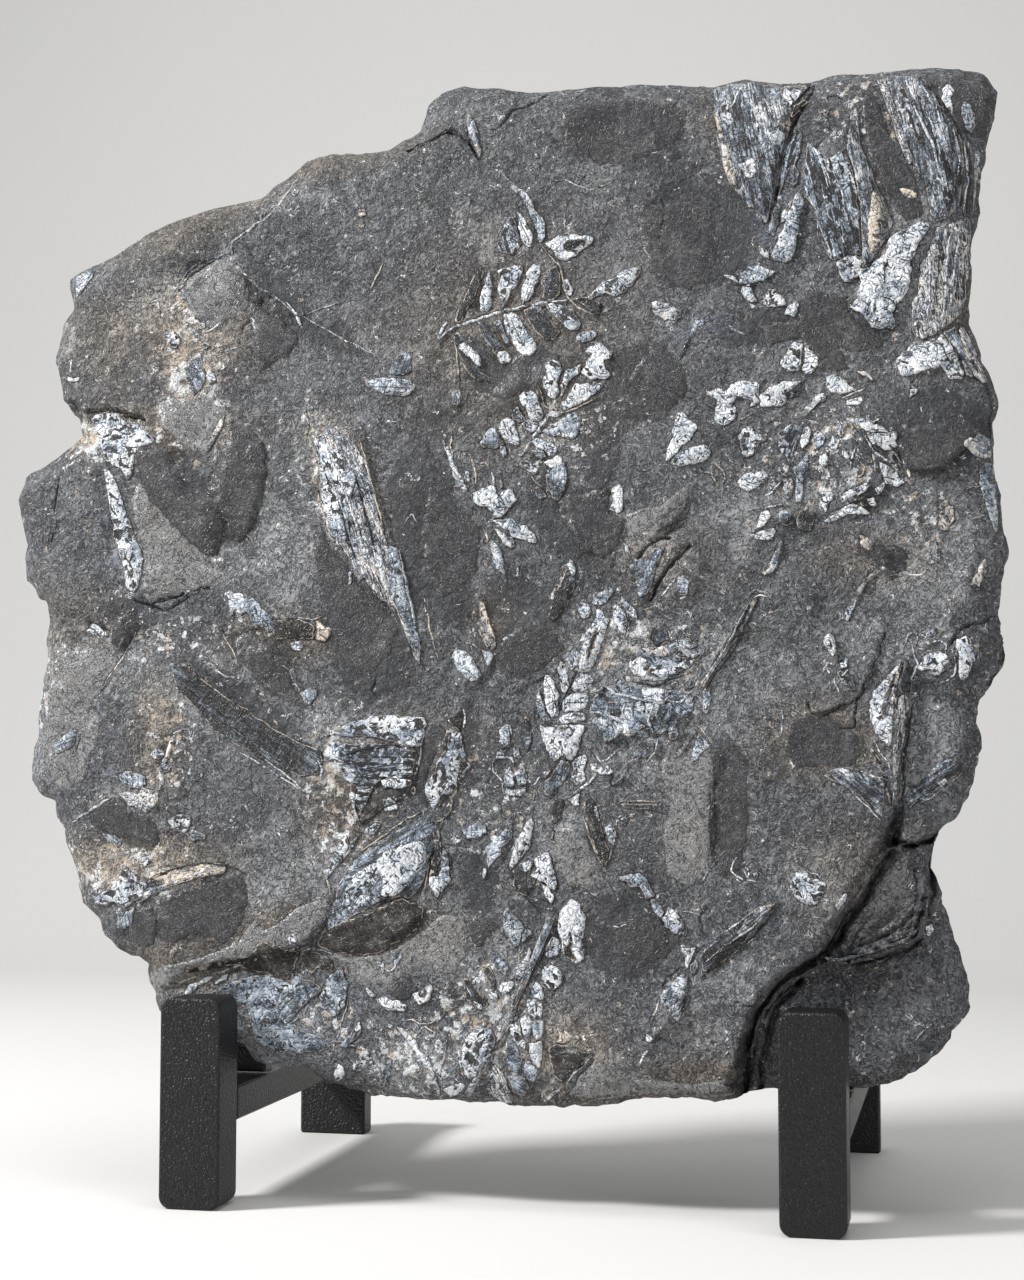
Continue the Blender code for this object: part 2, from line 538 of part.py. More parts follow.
def stand(collection):
    """Two bracket sides, left and right, and the cross bar that joins them behind the slab."""
    finish = material("black powder coat", (0.012, 0.012, 0.013), 0.62, 0.0)
    arm_end = POST_FRONT_Y + STAND_DEPTH - REAR_LEG_DEPTH
    rest_gap = SLAB_THICKNESS + GAP
    for side, x in (("left", LEFT_POST_X), ("right", RIGHT_POST_X)):
        half = POST_WIDTH / 2
        bar(f"{side}_post", (x - half, POST_FRONT_Y, 0.0), (x + half, POST_FRONT_Y + POST_DEPTH, POST_HEIGHT),
            collection, finish, corner=POST_CORNER)
        bar(f"{side}_arm", (x - half, POST_FRONT_Y + POST_DEPTH + GAP, ARM_TOP - ARM_HEIGHT),
            (x + half, arm_end - GAP, ARM_TOP), collection, finish)
        half_leg = REAR_LEG_WIDTH / 2
        bar(f"{side}_rear_leg", (x - half_leg, arm_end, 0.0),
            (x + half_leg, arm_end + REAR_LEG_DEPTH, ARM_TOP), collection, finish)
        # The rest leans with the slab: its lowest corner, at the back, stands on the arm.
        lowest_up = (ARM_TOP + GAP - FOOT.z + (rest_gap + REST_DEPTH) * FACE_OUT.z) / FACE_UP.z
        middle = in_space(x, lowest_up + REST_LENGTH / 2, -rest_gap - REST_DEPTH / 2)
        size = Vector((POST_WIDTH, REST_DEPTH, REST_LENGTH))
        bar(f"{side}_back_rest", middle - size / 2, middle + size / 2, collection, finish, tilt=SLAB_LEAN)
    ends = POST_WIDTH / 2 - 0.002
    span = POST_SPACING + 2 * ends
    behind_rests = rest_gap + REST_DEPTH + GAP + CROSS_BAR_DEPTH / 2
    middle = in_space((LEFT_POST_X + RIGHT_POST_X) / 2, CROSS_BAR_UP, -behind_rests)
    size = Vector((span, CROSS_BAR_DEPTH, CROSS_BAR_HEIGHT))
    bar("cross_bar", middle - size / 2, middle + size / 2, collection, finish, tilt=SLAB_LEAN)


def main():
    for existing in list(bpy.data.objects):
        bpy.data.objects.remove(existing)
    collection = bpy.data.collections.new("fossil fern plate")
    bpy.context.scene.collection.children.link(collection)
    rock = material("dark shale", (0.085, 0.085, 0.088), 0.72, 0.0)
    new_object("fossil_slab", slab_mesh(), collection, rock)
    stand(collection)


main()
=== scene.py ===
"""A fossil fern plate: a split slab of dark shale with fern leaflets, stems and bark in pale mineral
films on its face, held upright by a black bar stand. Metres, +Z up, the fern face towards -Y."""

import math

import bmesh
import bpy
import numpy as np
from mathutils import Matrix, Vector, geometry, noise
from mathutils.bvhtree import BVHTree


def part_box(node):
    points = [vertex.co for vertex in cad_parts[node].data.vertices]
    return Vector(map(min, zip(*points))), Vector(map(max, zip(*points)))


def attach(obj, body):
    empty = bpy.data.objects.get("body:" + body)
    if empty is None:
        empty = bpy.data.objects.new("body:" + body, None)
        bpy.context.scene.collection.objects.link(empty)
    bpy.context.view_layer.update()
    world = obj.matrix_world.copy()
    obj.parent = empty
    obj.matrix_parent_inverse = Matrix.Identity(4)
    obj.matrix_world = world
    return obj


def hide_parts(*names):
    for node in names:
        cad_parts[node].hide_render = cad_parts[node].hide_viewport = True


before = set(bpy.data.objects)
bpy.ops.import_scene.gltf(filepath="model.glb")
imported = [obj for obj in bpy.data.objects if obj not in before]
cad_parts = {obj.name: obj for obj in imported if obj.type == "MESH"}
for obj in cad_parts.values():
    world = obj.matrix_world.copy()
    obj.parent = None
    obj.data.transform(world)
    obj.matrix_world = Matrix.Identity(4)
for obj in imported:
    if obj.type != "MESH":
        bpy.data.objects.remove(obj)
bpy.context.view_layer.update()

# ----------------------------------------
# The eye in front of the plate. The face is drawn on a sheet of 1024 x 1280 units that hangs in front
# of this eye, and every film and line below is a place on that sheet, carried onto the rock.

SHEET_CENTRE = (512.0, 640.0)
SHEET_DISTANCE = 2080.0
EYE_RANGE = 0.800
EYE_AZIMUTH = math.radians(12.5)
EYE_TILT = math.radians(4.2)
AIM = Vector((0.0262, -0.100, 0.163))
EYE = AIM + Vector((math.sin(EYE_AZIMUTH), -math.cos(EYE_AZIMUTH), 0.0)) * EYE_RANGE
SIGHT = Vector((
    -math.sin(EYE_AZIMUTH) * math.cos(EYE_TILT),
    math.cos(EYE_AZIMUTH) * math.cos(EYE_TILT),
    math.sin(EYE_TILT),
))
SHEET_RIGHT = Vector((math.cos(EYE_AZIMUTH), math.sin(EYE_AZIMUTH), 0.0))
SHEET_UP = SHEET_RIGHT.cross(SIGHT)

lens = bpy.data.cameras.new("camera")
lens.sensor_width = 36.0
lens.lens = SHEET_DISTANCE / 1280.0 * 36.0
lens.clip_start = 0.05
camera = bpy.data.objects.new("camera", lens)
bpy.context.scene.collection.objects.link(camera)
camera.location = EYE
camera.rotation_euler = SIGHT.to_track_quat("-Z", "Y").to_euler()
bpy.context.scene.camera = camera


def sheet_sight(x, y):
    """The direction in which the eye sees a point of the sheet."""
    across = (x - SHEET_CENTRE[0]) / SHEET_DISTANCE
    down = (y - SHEET_CENTRE[1]) / SHEET_DISTANCE
    return (SIGHT + SHEET_RIGHT * across - SHEET_UP * down).normalized()


def on_sheet(points):
    """Where the eye sees places of the object, as rows of sheet x and y."""
    away = np.asarray(points) - np.array(EYE)
    depth = away @ np.array(SIGHT)
    x = SHEET_CENTRE[0] + SHEET_DISTANCE * (away @ np.array(SHEET_RIGHT)) / depth
    y = SHEET_CENTRE[1] - SHEET_DISTANCE * (away @ np.array(SHEET_UP)) / depth
    return np.stack([x, y], axis=1)


# ----------------------------------------
# The studio: a pale paper sweep under and behind the plate, a soft lamp high on the left that rakes
# the face, a weak one on the right and a soft overhead one for the tops of the bars.


class Flow:
    """A number, colour or direction on its way through a finish; a sum on it adds Math nodes."""

    def __init__(self, finish, socket):
        self.finish = finish
        self.socket = socket

    def math(self, operation, *others):
        return self.finish.node("Math", {"operation": operation}, dict(enumerate(others)))

    def __add__(self, other):
        return self.math("ADD", self, other)

    __radd__ = __add__

    def __sub__(self, other):
        return self.math("SUBTRACT", self, other)

    def __rsub__(self, other):
        return self.math("SUBTRACT", other, self)

    def __mul__(self, other):
        return self.math("MULTIPLY", self, other)

    __rmul__ = __mul__

    def size(self):
        return self.math("ABSOLUTE", self)

    def wave(self):
        return self.math("SINE", self)

    def most(self, other):
        return self.math("MAXIMUM", self, other)

    def rise(self, low, high):
        """0 below `low`, 1 above `high`, eased between; with `high` below `low` it falls instead."""
        return self.finish.node(
            "MapRange", {"interpolation_type": "SMOOTHSTEP"},
            {"Value": self, "From Min": low, "From Max": high}
        )

    def part(self, axis):
        return self.finish.node("SeparateXYZ", {}, {0: self}, "XYZ".index(axis))

    def scaled(self, factors):
        """A direction with each of its parts multiplied."""
        return self.finish.node("VectorMath", {"operation": "MULTIPLY"}, {0: self, 1: factors})

    def moved(self, step):
        return self.finish.node("VectorMath", {"operation": "ADD"}, {0: self, 1: step})


class Finish:
    """A material with one Principled shader, whose sums are written as Python expressions."""

    def __init__(self, name, **fixed):
        self.material = bpy.data.materials.new(name)
        self.material.use_nodes = True
        self.tree = self.material.node_tree
        self.shader = self.tree.nodes["Principled BSDF"]
        for socket, value in fixed.items():
            self.shader.inputs[socket.replace("_", " ").title().replace("Ior", "IOR")].default_value = value

    def give(self, socket, value):
        if isinstance(value, Flow):
            self.tree.links.new(value.socket, socket)
        elif socket.type == "RGBA":
            socket.default_value = (*value, 1.0)
        else:
            socket.default_value = value

    def node(self, kind, settings, sockets, output=0):
        made = self.tree.nodes.new("ShaderNode" + kind)
        for name, value in settings.items():
            setattr(made, name, value)
        for name, value in sockets.items():
            self.give(made.inputs[name], value)
        return Flow(self, made.outputs[output])

    def place(self):
        return self.node("TexCoord", {}, {}, "Object")

    def mark(self, name, axis=None):
        """What the mesh carries under a name; with an axis, one of its three numbers."""
        whole = self.node("Attribute", {"attribute_name": name}, {}, "Vector")
        return whole.part(axis) if axis else whole

    def cloud(self, place, size, detail=3.0, roughness=0.55, twist=0.0):
        return self.node(
            "TexNoise", {},
            {"Vector": place, "Scale": 1.0 / size, "Detail": detail, "Roughness": roughness,
             "Distortion": twist}
        )

    def cells(self, place, size, output="Distance"):
        return self.node("TexVoronoi", {}, {"Vector": place, "Scale": 1.0 / size}, output)

    def trio(self, x, y, z):
        """Three numbers as one direction."""
        return self.node("CombineXYZ", {}, {0: x, 1: y, 2: z})

    def blend(self, share, first, second):
        """A colour between two colours."""
        return self.node(
            "Mix", {"data_type": "RGBA"}, {0: share, 6: first, 7: second}, 2
        )

    def paint(self, socket, value):
        self.give(self.shader.inputs[socket], value)

    def raise_by(self, height, size):
        """A bump on the shader's normal, `size` metres high where `height` is 1."""
        self.paint("Normal", self.node("Bump", {}, {"Height": height, "Distance": size, "Strength": 1.0}))


FLOOR_HALF = 3.0
SWEEP_START = 0.9
SWEEP_RADIUS = 0.8
BACKDROP_TOP = 3.2

paper = Finish("pale paper", roughness=0.85)
paper.paint("Base Color", paper.blend(
    paper.cloud(paper.place(), 0.6), (0.66, 0.65, 0.63), (0.70, 0.69, 0.67)))
profile = [(-FLOOR_HALF, 0.0), (SWEEP_START, 0.0)]
for step in range(1, 17):
    turn = math.pi / 2 * step / 16
    profile.append((SWEEP_START + SWEEP_RADIUS * math.sin(turn), SWEEP_RADIUS * (1.0 - math.cos(turn))))
profile.append((SWEEP_START + SWEEP_RADIUS, BACKDROP_TOP))
corners = [(x, y, z) for y, z in profile for x in (-FLOOR_HALF, FLOOR_HALF)]
sheets = [(2 * i, 2 * i + 1, 2 * i + 3, 2 * i + 2) for i in range(len(profile) - 1)]
sweep_mesh = bpy.data.meshes.new("sweep")
sweep_mesh.from_pydata(corners, [], sheets)
sweep_mesh.shade_smooth()
sweep_mesh.materials.append(paper.material)
sweep = bpy.data.objects.new("sweep", sweep_mesh)
bpy.context.scene.collection.objects.link(sweep)


def lamp(name, place, aim, size, power, colour=(1.0, 1.0, 1.0)):
    light = bpy.data.lights.new(name, "AREA")
    light.size = size
    light.energy = power
    light.color = colour
    made = bpy.data.objects.new(name, light)
    made.location = place
    made.rotation_euler = (Vector(aim) - Vector(place)).to_track_quat("-Z", "Y").to_euler()
    bpy.context.scene.collection.objects.link(made)


lamp("key", (-1.30, -0.74, 1.34), (0.0, -0.05, 0.25), 0.30, 48.0)
lamp("side", (1.5, -0.9, 0.7), (0.0, -0.05, 0.22), 0.9, 6.0)
lamp("overhead", (0.1, -0.2, 1.9), (0.0, -0.05, 0.2), 0.9, 11.0)

world = bpy.data.worlds.new("studio air")
world.use_nodes = True
world.node_tree.nodes["Background"].inputs["Color"].default_value = (0.92, 0.95, 1.0, 1.0)
world.node_tree.nodes["Background"].inputs["Strength"].default_value = 0.30
bpy.context.scene.world = world
bpy.context.scene.view_settings.view_transform = "Standard"

# ----------------------------------------
# The slab: one split piece of coal-age shale, about 3 cm thick, standing on the stand's two arms and
# leaning on its rests. Its face shows ledges, cracks and lumps; its edge shows the layers it split in.

FOOT = Vector((0.0, -0.076, 0.050))
SLAB_LEAN = math.radians(6.0)
FACE_UP = Vector((0.0, math.sin(SLAB_LEAN), math.cos(SLAB_LEAN)))
FACE_OUT = Vector((0.0, -math.cos(SLAB_LEAN), math.sin(SLAB_LEAN)))
ARM_CENTRES = (-0.1038, 0.1392)
ARM_REACH = 0.0135
ARM_TOP = 0.0458
POST_BACK = -0.0787
POST_TOP = 0.084
MM = 0.001
# The longest edge of a triangle on the face, on the sides, on the back and beside a crack or ledge.
FACE_EDGE = 0.0034
SIDE_EDGE = 0.0036
BACK_EDGE = 0.0090
BREAK_EDGE = 0.0010
# How near a break, in sheet units, its short edges start, and how their length grows from there on.
NEAR_BREAK = 1.6
EDGE_GROWTH = 0.0003
LOOK_AHEAD = 0.0016
BREAK_REACH = 12.0
NO_BREAK = 99.0
# The sum of an edge's two facings, from which it belongs to the face, and may be split by a break.
FLAT_EDGE = 1.2
BROKEN_EDGE = 0.6
SPLIT_ROUNDS = 8
# How far, in sheet units, a crack or a ledge wanders from its straight runs.
CRACK_SWAY = 3.0
LEDGE_SWAY = 5.0
# Sheet units over which a ledge starts and ends, and in which half its riser stands; how steep a
# crack's flanks are.
LEDGE_TAPER = 14.0
LEDGE_RISER = 1.1
CRACK_FLANK = 3.6

# Small cracks: width on the sheet, depth in mm, and the walk along them.
CRACKS = (
    (13.0, 8.0, (899,812,893,835,888,856,872,880,862,900,845,920,835,938,818,958,800,972,775,992,758,
        1012,748,1040,742,1095)), (9.0, 6.0, (893,838,905,846,922,841,948,834)),
    (8.0, 4.0, (846,962,880,957,915,943,930,900,934,862)),
    (7.0, 5.0, (800,980,775,1008,768,1035,763,1060,760,1095)), (4.0, 2.0, (860,945,890,935,912,915)),
    (4.0, 2.0, (875,905,860,925,848,948)), (3.4, 1.6, (760,1003,775,992,800,980)),
    (3.4, 1.6, (632,565,645,550,655,540,670,537)), (4.0, 1.8, (650,600,660,580,675,560,690,545)),
    (3.0, 1.4, (884,632,878,655,862,690,856,703,855,728,840,728)),
    (2.6, 1.2, (808,702,812,713,820,716,835,710,858,698)),
    (4.0, 1.8, (66,403,72,401,82,413,100,409,125,413,145,420)),
    (3.0, 1.4, (135,600,150,606,165,600,190,591,208,587)),
    (3.0, 1.3, (408,150,428,141,447,132,455,131,470,145,480,160)),
    (2.4, 1.0, (545,96,530,105,513,109,502,124,493,131)), (2.4, 1.0, (648,252,660,235,665,215,661,200)),
    (3.4, 1.6, (998,610,985,622,970,625,960,630,950,645)), (2.8, 1.2, (985,385,990,400,990,440)),
    (3.0, 1.4, (152,608,165,610,180,603,190,597)), (3.6, 2.0, (905,846,920,842,937,838)),
    (2.4, 1.0, (662,988,668,978,680,969)), (2.0, 0.8, (700,1072,708,1062,716,1056)),
    (2.4, 1.0, (735,1003,750,1006,765,1000)), (3.2, 1.6, (1003,640,1004,660,998,672,988,684)),
    (2.4, 1.0, (262,300,250,318,242,330,240,345)), (2.2, 0.9, (380,700,372,690,376,680)),
    (2.6, 1.2, (915,925,900,932,884,936,868,948)), (2.4, 1.0, (960,170,958,190,962,205)),
    (2.4, 1.1, (915,870,918,895,912,915)), (3.0, 1.3, (815,86,800,112,790,135,782,160,777,190,770,222)),
    (2.2, 0.9, (1000,610,1002,640,1000,665)), (2.2, 1.0, (437,822,433,850,428,880)),
    (2.0, 0.8, (705,935,700,920,706,908)),
)
# Ledges: height in mm, how far the step fades on the sheet, and the walk; the left hand is higher.
LEDGES = (
    (4.0, 40, (742,1095,748,1040,758,1012,775,992,800,972,818,958,835,938,845,920,862,900,872,880,
        888,856,897,815)), (4.0, 26, (842,958,880,950,915,935,925,893,930,850)),
    (2.4, 14, (906,655,905,700,906,740,900,790,897,812)),
    (1.5, 16, (299,178,287,192,273,212,255,226,233,241,231,250,243,273,262,290,280,300,304,332)),
    (1.2, 12, (231,252,200,262,182,280,165,296)), (1.4, 12, (64,405,82,413,125,413,147,420)),
    (1.4, 14, (895,440,905,465,925,473,945,468,972,442)),
    (1.6, 14, (160,990,200,966,260,958,305,943,332,915)), (1.2, 12, (226,867,180,880,150,893,118,908)),
    (1.4, 10, (205,588,190,591,165,600,148,607)), (1.0, 12, (648,545,660,533,672,524,690,497)),
    (0.9, 12, (316,712,290,664,262,638,235,630)), (0.9, 12, (445,722,438,760,424,790,432,806)),
    (0.9, 12, (345,560,375,597,410,640,420,668)), (1.1, 14, (640,965,668,942,660,915,628,905)),
    (1.0, 12, (820,292,846,300,868,328,895,332)), (0.9, 14, (700,395,672,415,640,398,625,378)),
    (1.0, 14, (725,210,700,196,665,202,640,215)), (0.9, 14, (560,500,580,545,610,565,630,520)),
    (0.9, 14, (905,640,880,620,850,640,840,700)), (1.0, 14, (745,640,700,660,690,700,712,745)),
    (0.8, 14, (520,690,560,670,566,640,545,618)), (1.2, 10, (937,838,905,846,880,880,850,935)),
    (1.4, 10, (925,899,903,914,882,925,855,943)), (0.8, 14, (400,150,380,200,330,235,300,240)),
    (0.8, 16, (130,655,100,700,85,760,100,800)), (1.0, 14, (905,575,885,568,860,548,862,520)),
)


def line_fit(points, line):
    """For each point: its distance to a line, and how far along the line that is."""
    starts = line[:-1]
    runs = line[1:] - starts
    lengths = np.maximum(np.hypot(runs[:, 0], runs[:, 1]), 1e-9)
    from_start = points[:, None, :] - starts[None, :, :]
    share = np.clip((from_start * runs).sum(2) / lengths**2, 0.0, 1.0)
    away = from_start - runs[None, :, :] * share[:, :, None]
    distance = np.hypot(away[:, :, 0], away[:, :, 1])
    nearest = distance.argmin(1)
    rows = np.arange(len(points))
    travelled = np.concatenate([[0.0], np.cumsum(lengths)])
    return distance[rows, nearest], travelled[nearest] + share[rows, nearest] * lengths[nearest]


def resampled(points, step, closed=False):
    """A line through the same places with a point every `step`."""
    line = np.array(points, float)
    if closed:
        line = np.vstack([line, line[:1]])
    lengths = np.hypot(*(line[1:] - line[:-1]).T)
    travelled = np.concatenate([[0.0], np.cumsum(lengths)])
    count = max(2, int(round(travelled[-1] / step)) + 1)
    stations = np.linspace(0.0, travelled[-1], count)
    places = np.stack([np.interp(stations, travelled, line[:, k]) for k in (0, 1)], axis=1)
    return places[:-1] if closed else places


def wandering(walk, sway):
    """A walk with its straight runs made to wander a little, as a break in stone does."""
    line = resampled(np.reshape(walk, (-1, 2)), 4.0)
    for i, (x, y) in enumerate(line):
        line[i] += [noise.noise(Vector((x / 8.0, y / 8.0, layer))) * sway for layer in (3.0, 7.0)]
    return line


crack_lines = [(wandering(walk, CRACK_SWAY), width, depth) for width, depth, walk in CRACKS]
ledge_lines = [(wandering(walk, LEDGE_SWAY), height, fade) for height, fade, walk in LEDGES]


def beside(sheet, line, reach):
    """The points within `reach` of a line's box, with their distance and how far along it they are."""
    low, high = line.min(0) - reach, line.max(0) + reach
    rows = np.nonzero(((sheet > low) & (sheet < high)).all(1))[0]
    return (rows, *line_fit(sheet[rows], line))


def facings(points, corners):
    """How far each point's own normal looks out of the face, from -1 to 1."""
    a, b, c = points[corners[:, 0]], points[corners[:, 1]], points[corners[:, 2]]
    normals = np.zeros(points.shape)
    for k in range(3):
        np.add.at(normals, corners[:, k], np.cross(b - a, c - a))
    return (normals / np.maximum(np.linalg.norm(normals, axis=1), 1e-12)[:, None]) @ np.array(FACE_OUT)


def split_triangles(points, corners, middles):
    """Triangles cut at the middles of their long edges.

    `middles` has, for the edges ab, bc and ca of each, the number of its new point, or -1."""
    cuts = (middles >= 0).sum(1)
    roll = np.where(cuts == 1, middles.argmax(1), np.where(cuts == 2, middles.argmin(1) + 1, 0))
    turned = (np.arange(3) + roll[:, None]) % 3
    a, b, c = np.take_along_axis(corners, turned, 1).T
    ab, bc, ca = np.take_along_axis(middles, turned, 1).T
    from_a, from_c = points[a] - points[bc], points[c] - points[ab]
    short_from_a = np.linalg.norm(from_a, axis=1) < np.linalg.norm(from_c, axis=1)
    two = cuts == 2
    made = [corners[cuts == 0]]
    for rows, wanted in (
        (cuts == 1, ((a, ab, c), (ab, b, c))),
        (two, ((ab, b, bc),)),
        (two & short_from_a, ((a, ab, bc), (a, bc, c))),
        (two & ~short_from_a, ((a, ab, c), (ab, bc, c))),
        (cuts == 3, ((a, ab, ca), (ab, b, bc), (ca, bc, c), (ab, bc, ca))),
    ):
        made += [np.stack([corner[rows] for corner in triangle], axis=1) for triangle in wanted]
    return np.vstack(made)


def fine_copy(node):
    """The node's solid with its long edges split, finest beside cracks and ledges."""
    bm = bmesh.new()
    bm.from_mesh(bpy.data.objects[node].data)
    bmesh.ops.remove_doubles(bm, verts=bm.verts, dist=1e-6)
    bm.verts.index_update()
    points = np.array([vert.co for vert in bm.verts])
    corners = np.array([[vert.index for vert in face.verts] for face in bm.faces])
    bm.clear()
    for _ in range(SPLIT_ROUNDS):
        sheet, facing = on_sheet(points), facings(points, corners)
        near = np.full(len(sheet), NO_BREAK)
        for line, *_ in crack_lines + ledge_lines:
            rows, distance, _ = beside(sheet, line, BREAK_REACH)
            near[rows] = np.minimum(near[rows], distance)
        sides = np.sort(corners[:, [0, 1, 1, 2, 2, 0]].reshape(-1, 2))
        edges, edge_of = np.unique(sides, axis=0, return_inverse=True)
        facing, near = facing[edges].sum(1), near[edges].min(1)
        length = np.linalg.norm(points[edges[:, 0]] - points[edges[:, 1]], axis=1)
        limit = np.where(facing > -FLAT_EDGE, SIDE_EDGE, BACK_EDGE)
        limit = np.where(facing > FLAT_EDGE, FACE_EDGE, limit)
        by_break = (facing > BROKEN_EDGE) & (near - length / LOOK_AHEAD < NEAR_BREAK)
        graded = np.clip((near - NEAR_BREAK) * EDGE_GROWTH, BREAK_EDGE, FACE_EDGE)
        limit = np.where(by_break, graded, limit)
        long = length > limit
        if not long.any():
            break
        middles = np.where(long, len(points) + np.cumsum(long) - 1, -1)
        points = np.vstack([points, points[edges[long]].mean(1)])
        corners = split_triangles(points, corners, middles[edge_of.reshape(-1, 3)])
    fine = bpy.data.meshes.new("fine copy")
    fine.from_pydata(points.tolist(), [], corners.tolist())
    bm.from_mesh(fine)
    bpy.data.meshes.remove(fine)
    return bm


def swell(x, y, z, size):
    """A smooth random swell about as wide as `size`."""
    return noise.noise(Vector((x / size, y / size, z / size)))


def terraces(value, count):
    """A swell cut into `count` flat steps with short risers between them."""
    whole = math.floor(value * count)
    rest = value * count - whole
    return (whole + max(0.0, min(1.0, (rest - 0.4) / 0.2))) / count


rock_bm = fine_copy("fossil_slab")
bmesh.ops.smooth_vert(
    rock_bm, verts=rock_bm.verts, factor=0.5, use_axis_x=True, use_axis_y=True, use_axis_z=True)
rock_bm.normal_update()
rock_bm.verts.index_update()
sheet = on_sheet([vert.co for vert in rock_bm.verts])
# How far the face stands out beside each ledge, and how deep it is in each crack.
broken = np.zeros(len(sheet))
for line, height, fade in ledge_lines:
    rows, distance, _ = beside(sheet, line, fade * 3.0)
    spots, starts, ends = sheet[rows], line[:-1], line[1:]
    middles = (starts + ends) / 2
    pick = np.hypot(*(spots[:, None, :] - middles[None, :, :]).transpose(2, 0, 1)).argmin(1)
    run, offset = (ends - starts)[pick], spots - starts[pick]
    side = -np.sign(run[:, 0] * offset[:, 1] - run[:, 1] * offset[:, 0])
    from_ends = np.minimum(np.hypot(*(spots - line[0]).T), np.hypot(*(spots - line[-1]).T))
    taper = np.clip(from_ends / LEDGE_TAPER, 0.0, 1.0)
    step = side * np.clip(distance / LEDGE_RISER, 0.0, 1.0) * np.exp(-distance / fade)
    broken[rows] += height / 2 * MM * step * taper
for line, width, depth in crack_lines:
    rows, distance, _ = beside(sheet, line, width)
    broken[rows] -= depth * MM * np.clip(CRACK_FLANK * (0.5 - distance / width), 0.0, 1.0)
# The relief of the split face, and of the layers that its edge shows.
for vert in rock_bm.verts:
    facing = vert.normal.dot(FACE_OUT)
    x = vert.co.x
    up = (vert.co - FOOT).dot(FACE_UP)
    out = (vert.co - FOOT).dot(FACE_OUT)
    on_face = max(0.0, min(1.0, (facing - 0.35) / 0.4))
    on_side = max(0.0, 1.0 - abs(facing) / 0.8)
    lumps = 0.0006 * swell(x, up, 3.0, 0.011) + 0.00040 * swell(x, up, 9.0, 0.0048)
    lumps += 0.0016 * terraces(swell(x, up, 5.0, 0.021) + 0.3 * swell(x, up, 6.0, 0.006), 5)
    layers = 0.0016 * swell(x * 0.10, up * 0.10, out, 0.0019) + 0.0013 * swell(x, up, out, 0.010)
    layers += 0.0012 * swell(x, up, out, 0.0042)
    vert.co += FACE_OUT * (lumps * on_face + broken[vert.index] * (facing > 0.2))
    vert.co += vert.normal * (layers * on_side)
    over_arm = min(abs(x - centre) for centre in ARM_CENTRES) < ARM_REACH
    if over_arm and vert.co.z < ARM_TOP:
        vert.co.z = ARM_TOP
    if over_arm and vert.co.z < POST_TOP and vert.co.y < POST_BACK:
        vert.co.y = POST_BACK
rock_mesh = bpy.data.meshes.new("rock")
rock_bm.to_mesh(rock_mesh)
rock_bm.free()
rock_mesh.shade_smooth()
rock_tree = BVHTree.FromPolygons(
    [v.co.copy() for v in rock_mesh.vertices], [tuple(p.vertices) for p in rock_mesh.polygons]
)

places = np.empty(len(rock_mesh.vertices) * 3)
rock_mesh.vertices.foreach_get("co", places)
rock_places = places.reshape(-1, 3)
rock_sheet = on_sheet(rock_places)
rock_out = (rock_places - np.array(FOOT)) @ np.array(FACE_OUT)


def carry(mesh, name, rows):
    """Three numbers at each corner point of a mesh, which its finish reads by name."""
    held = mesh.attributes.new(name, "FLOAT_VECTOR", "POINT")
    held.data.foreach_set("vector", np.asarray(rows, dtype=np.float32).ravel())


# Soft zones of the face: sheet x, y, half length, half width, turn in degrees, strength.
PALE = [
    (195, 370, 90, 30, 78, 1.0), (175, 300, 70, 30, -30, 0.7), (110, 440, 50, 26, 10, 0.9),
    (80, 350, 30, 50, 0, 0.4), (180, 565, 80, 34, -8, 0.75), (285, 560, 60, 40, 70, 0.75),
    (325, 470, 80, 34, 72, 0.7), (80, 665, 60, 44, 0, 0.8), (58, 745, 34, 48, 0, 1.0),
    (155, 735, 50, 12, 105, 0.8), (140, 795, 60, 16, -10, 0.8), (135, 868, 84, 24, 0, 1.0),
    (200, 985, 60, 20, 0, 0.9), (275, 1035, 70, 36, 10, 0.9), (335, 745, 50, 36, 0, 0.8),
    (420, 1065, 50, 34, 0, 0.8), (650, 555, 50, 40, 30, 0.8), (640, 680, 90, 60, 0, 0.8),
    (745, 530, 44, 20, 100, 0.7), (720, 700, 60, 90, 0, 0.6), (800, 500, 60, 20, -20, 0.7),
    (930, 565, 66, 60, 0, 0.75), (925, 740, 50, 60, 0, 0.75), (900, 630, 60, 40, 0, 0.5),
    (915, 260, 46, 90, 5, 0.6), (560, 420, 60, 60, 0, 0.5), (500, 240, 50, 36, 0, 0.45),
    (800, 880, 60, 40, 0, 0.5), (525, 1040, 60, 50, 0, 0.8), (470, 960, 50, 60, 0, 0.5),
    (600, 1050, 60, 40, 0, 0.5), (700, 1000, 60, 60, 0, 0.5), (560, 850, 26, 44, 0, 0.6),
    (200, 700, 100, 50, 0, 0.45), (300, 880, 90, 50, 0, 0.45), (690, 800, 40, 60, 0, 0.45),
    (340, 190, 80, 20, -14, 0.5), (460, 330, 30, 60, 0, 0.35), (640, 760, 60, 40, 0, 0.6),
    (240, 660, 60, 30, 20, 0.5), (460, 200, 60, 40, 0, 0.3), (870, 1030, 60, 40, 0, 0.4),
    (880, 890, 34, 24, -40, 0.6), (330, 860, 60, 30, -20, 0.6),
]
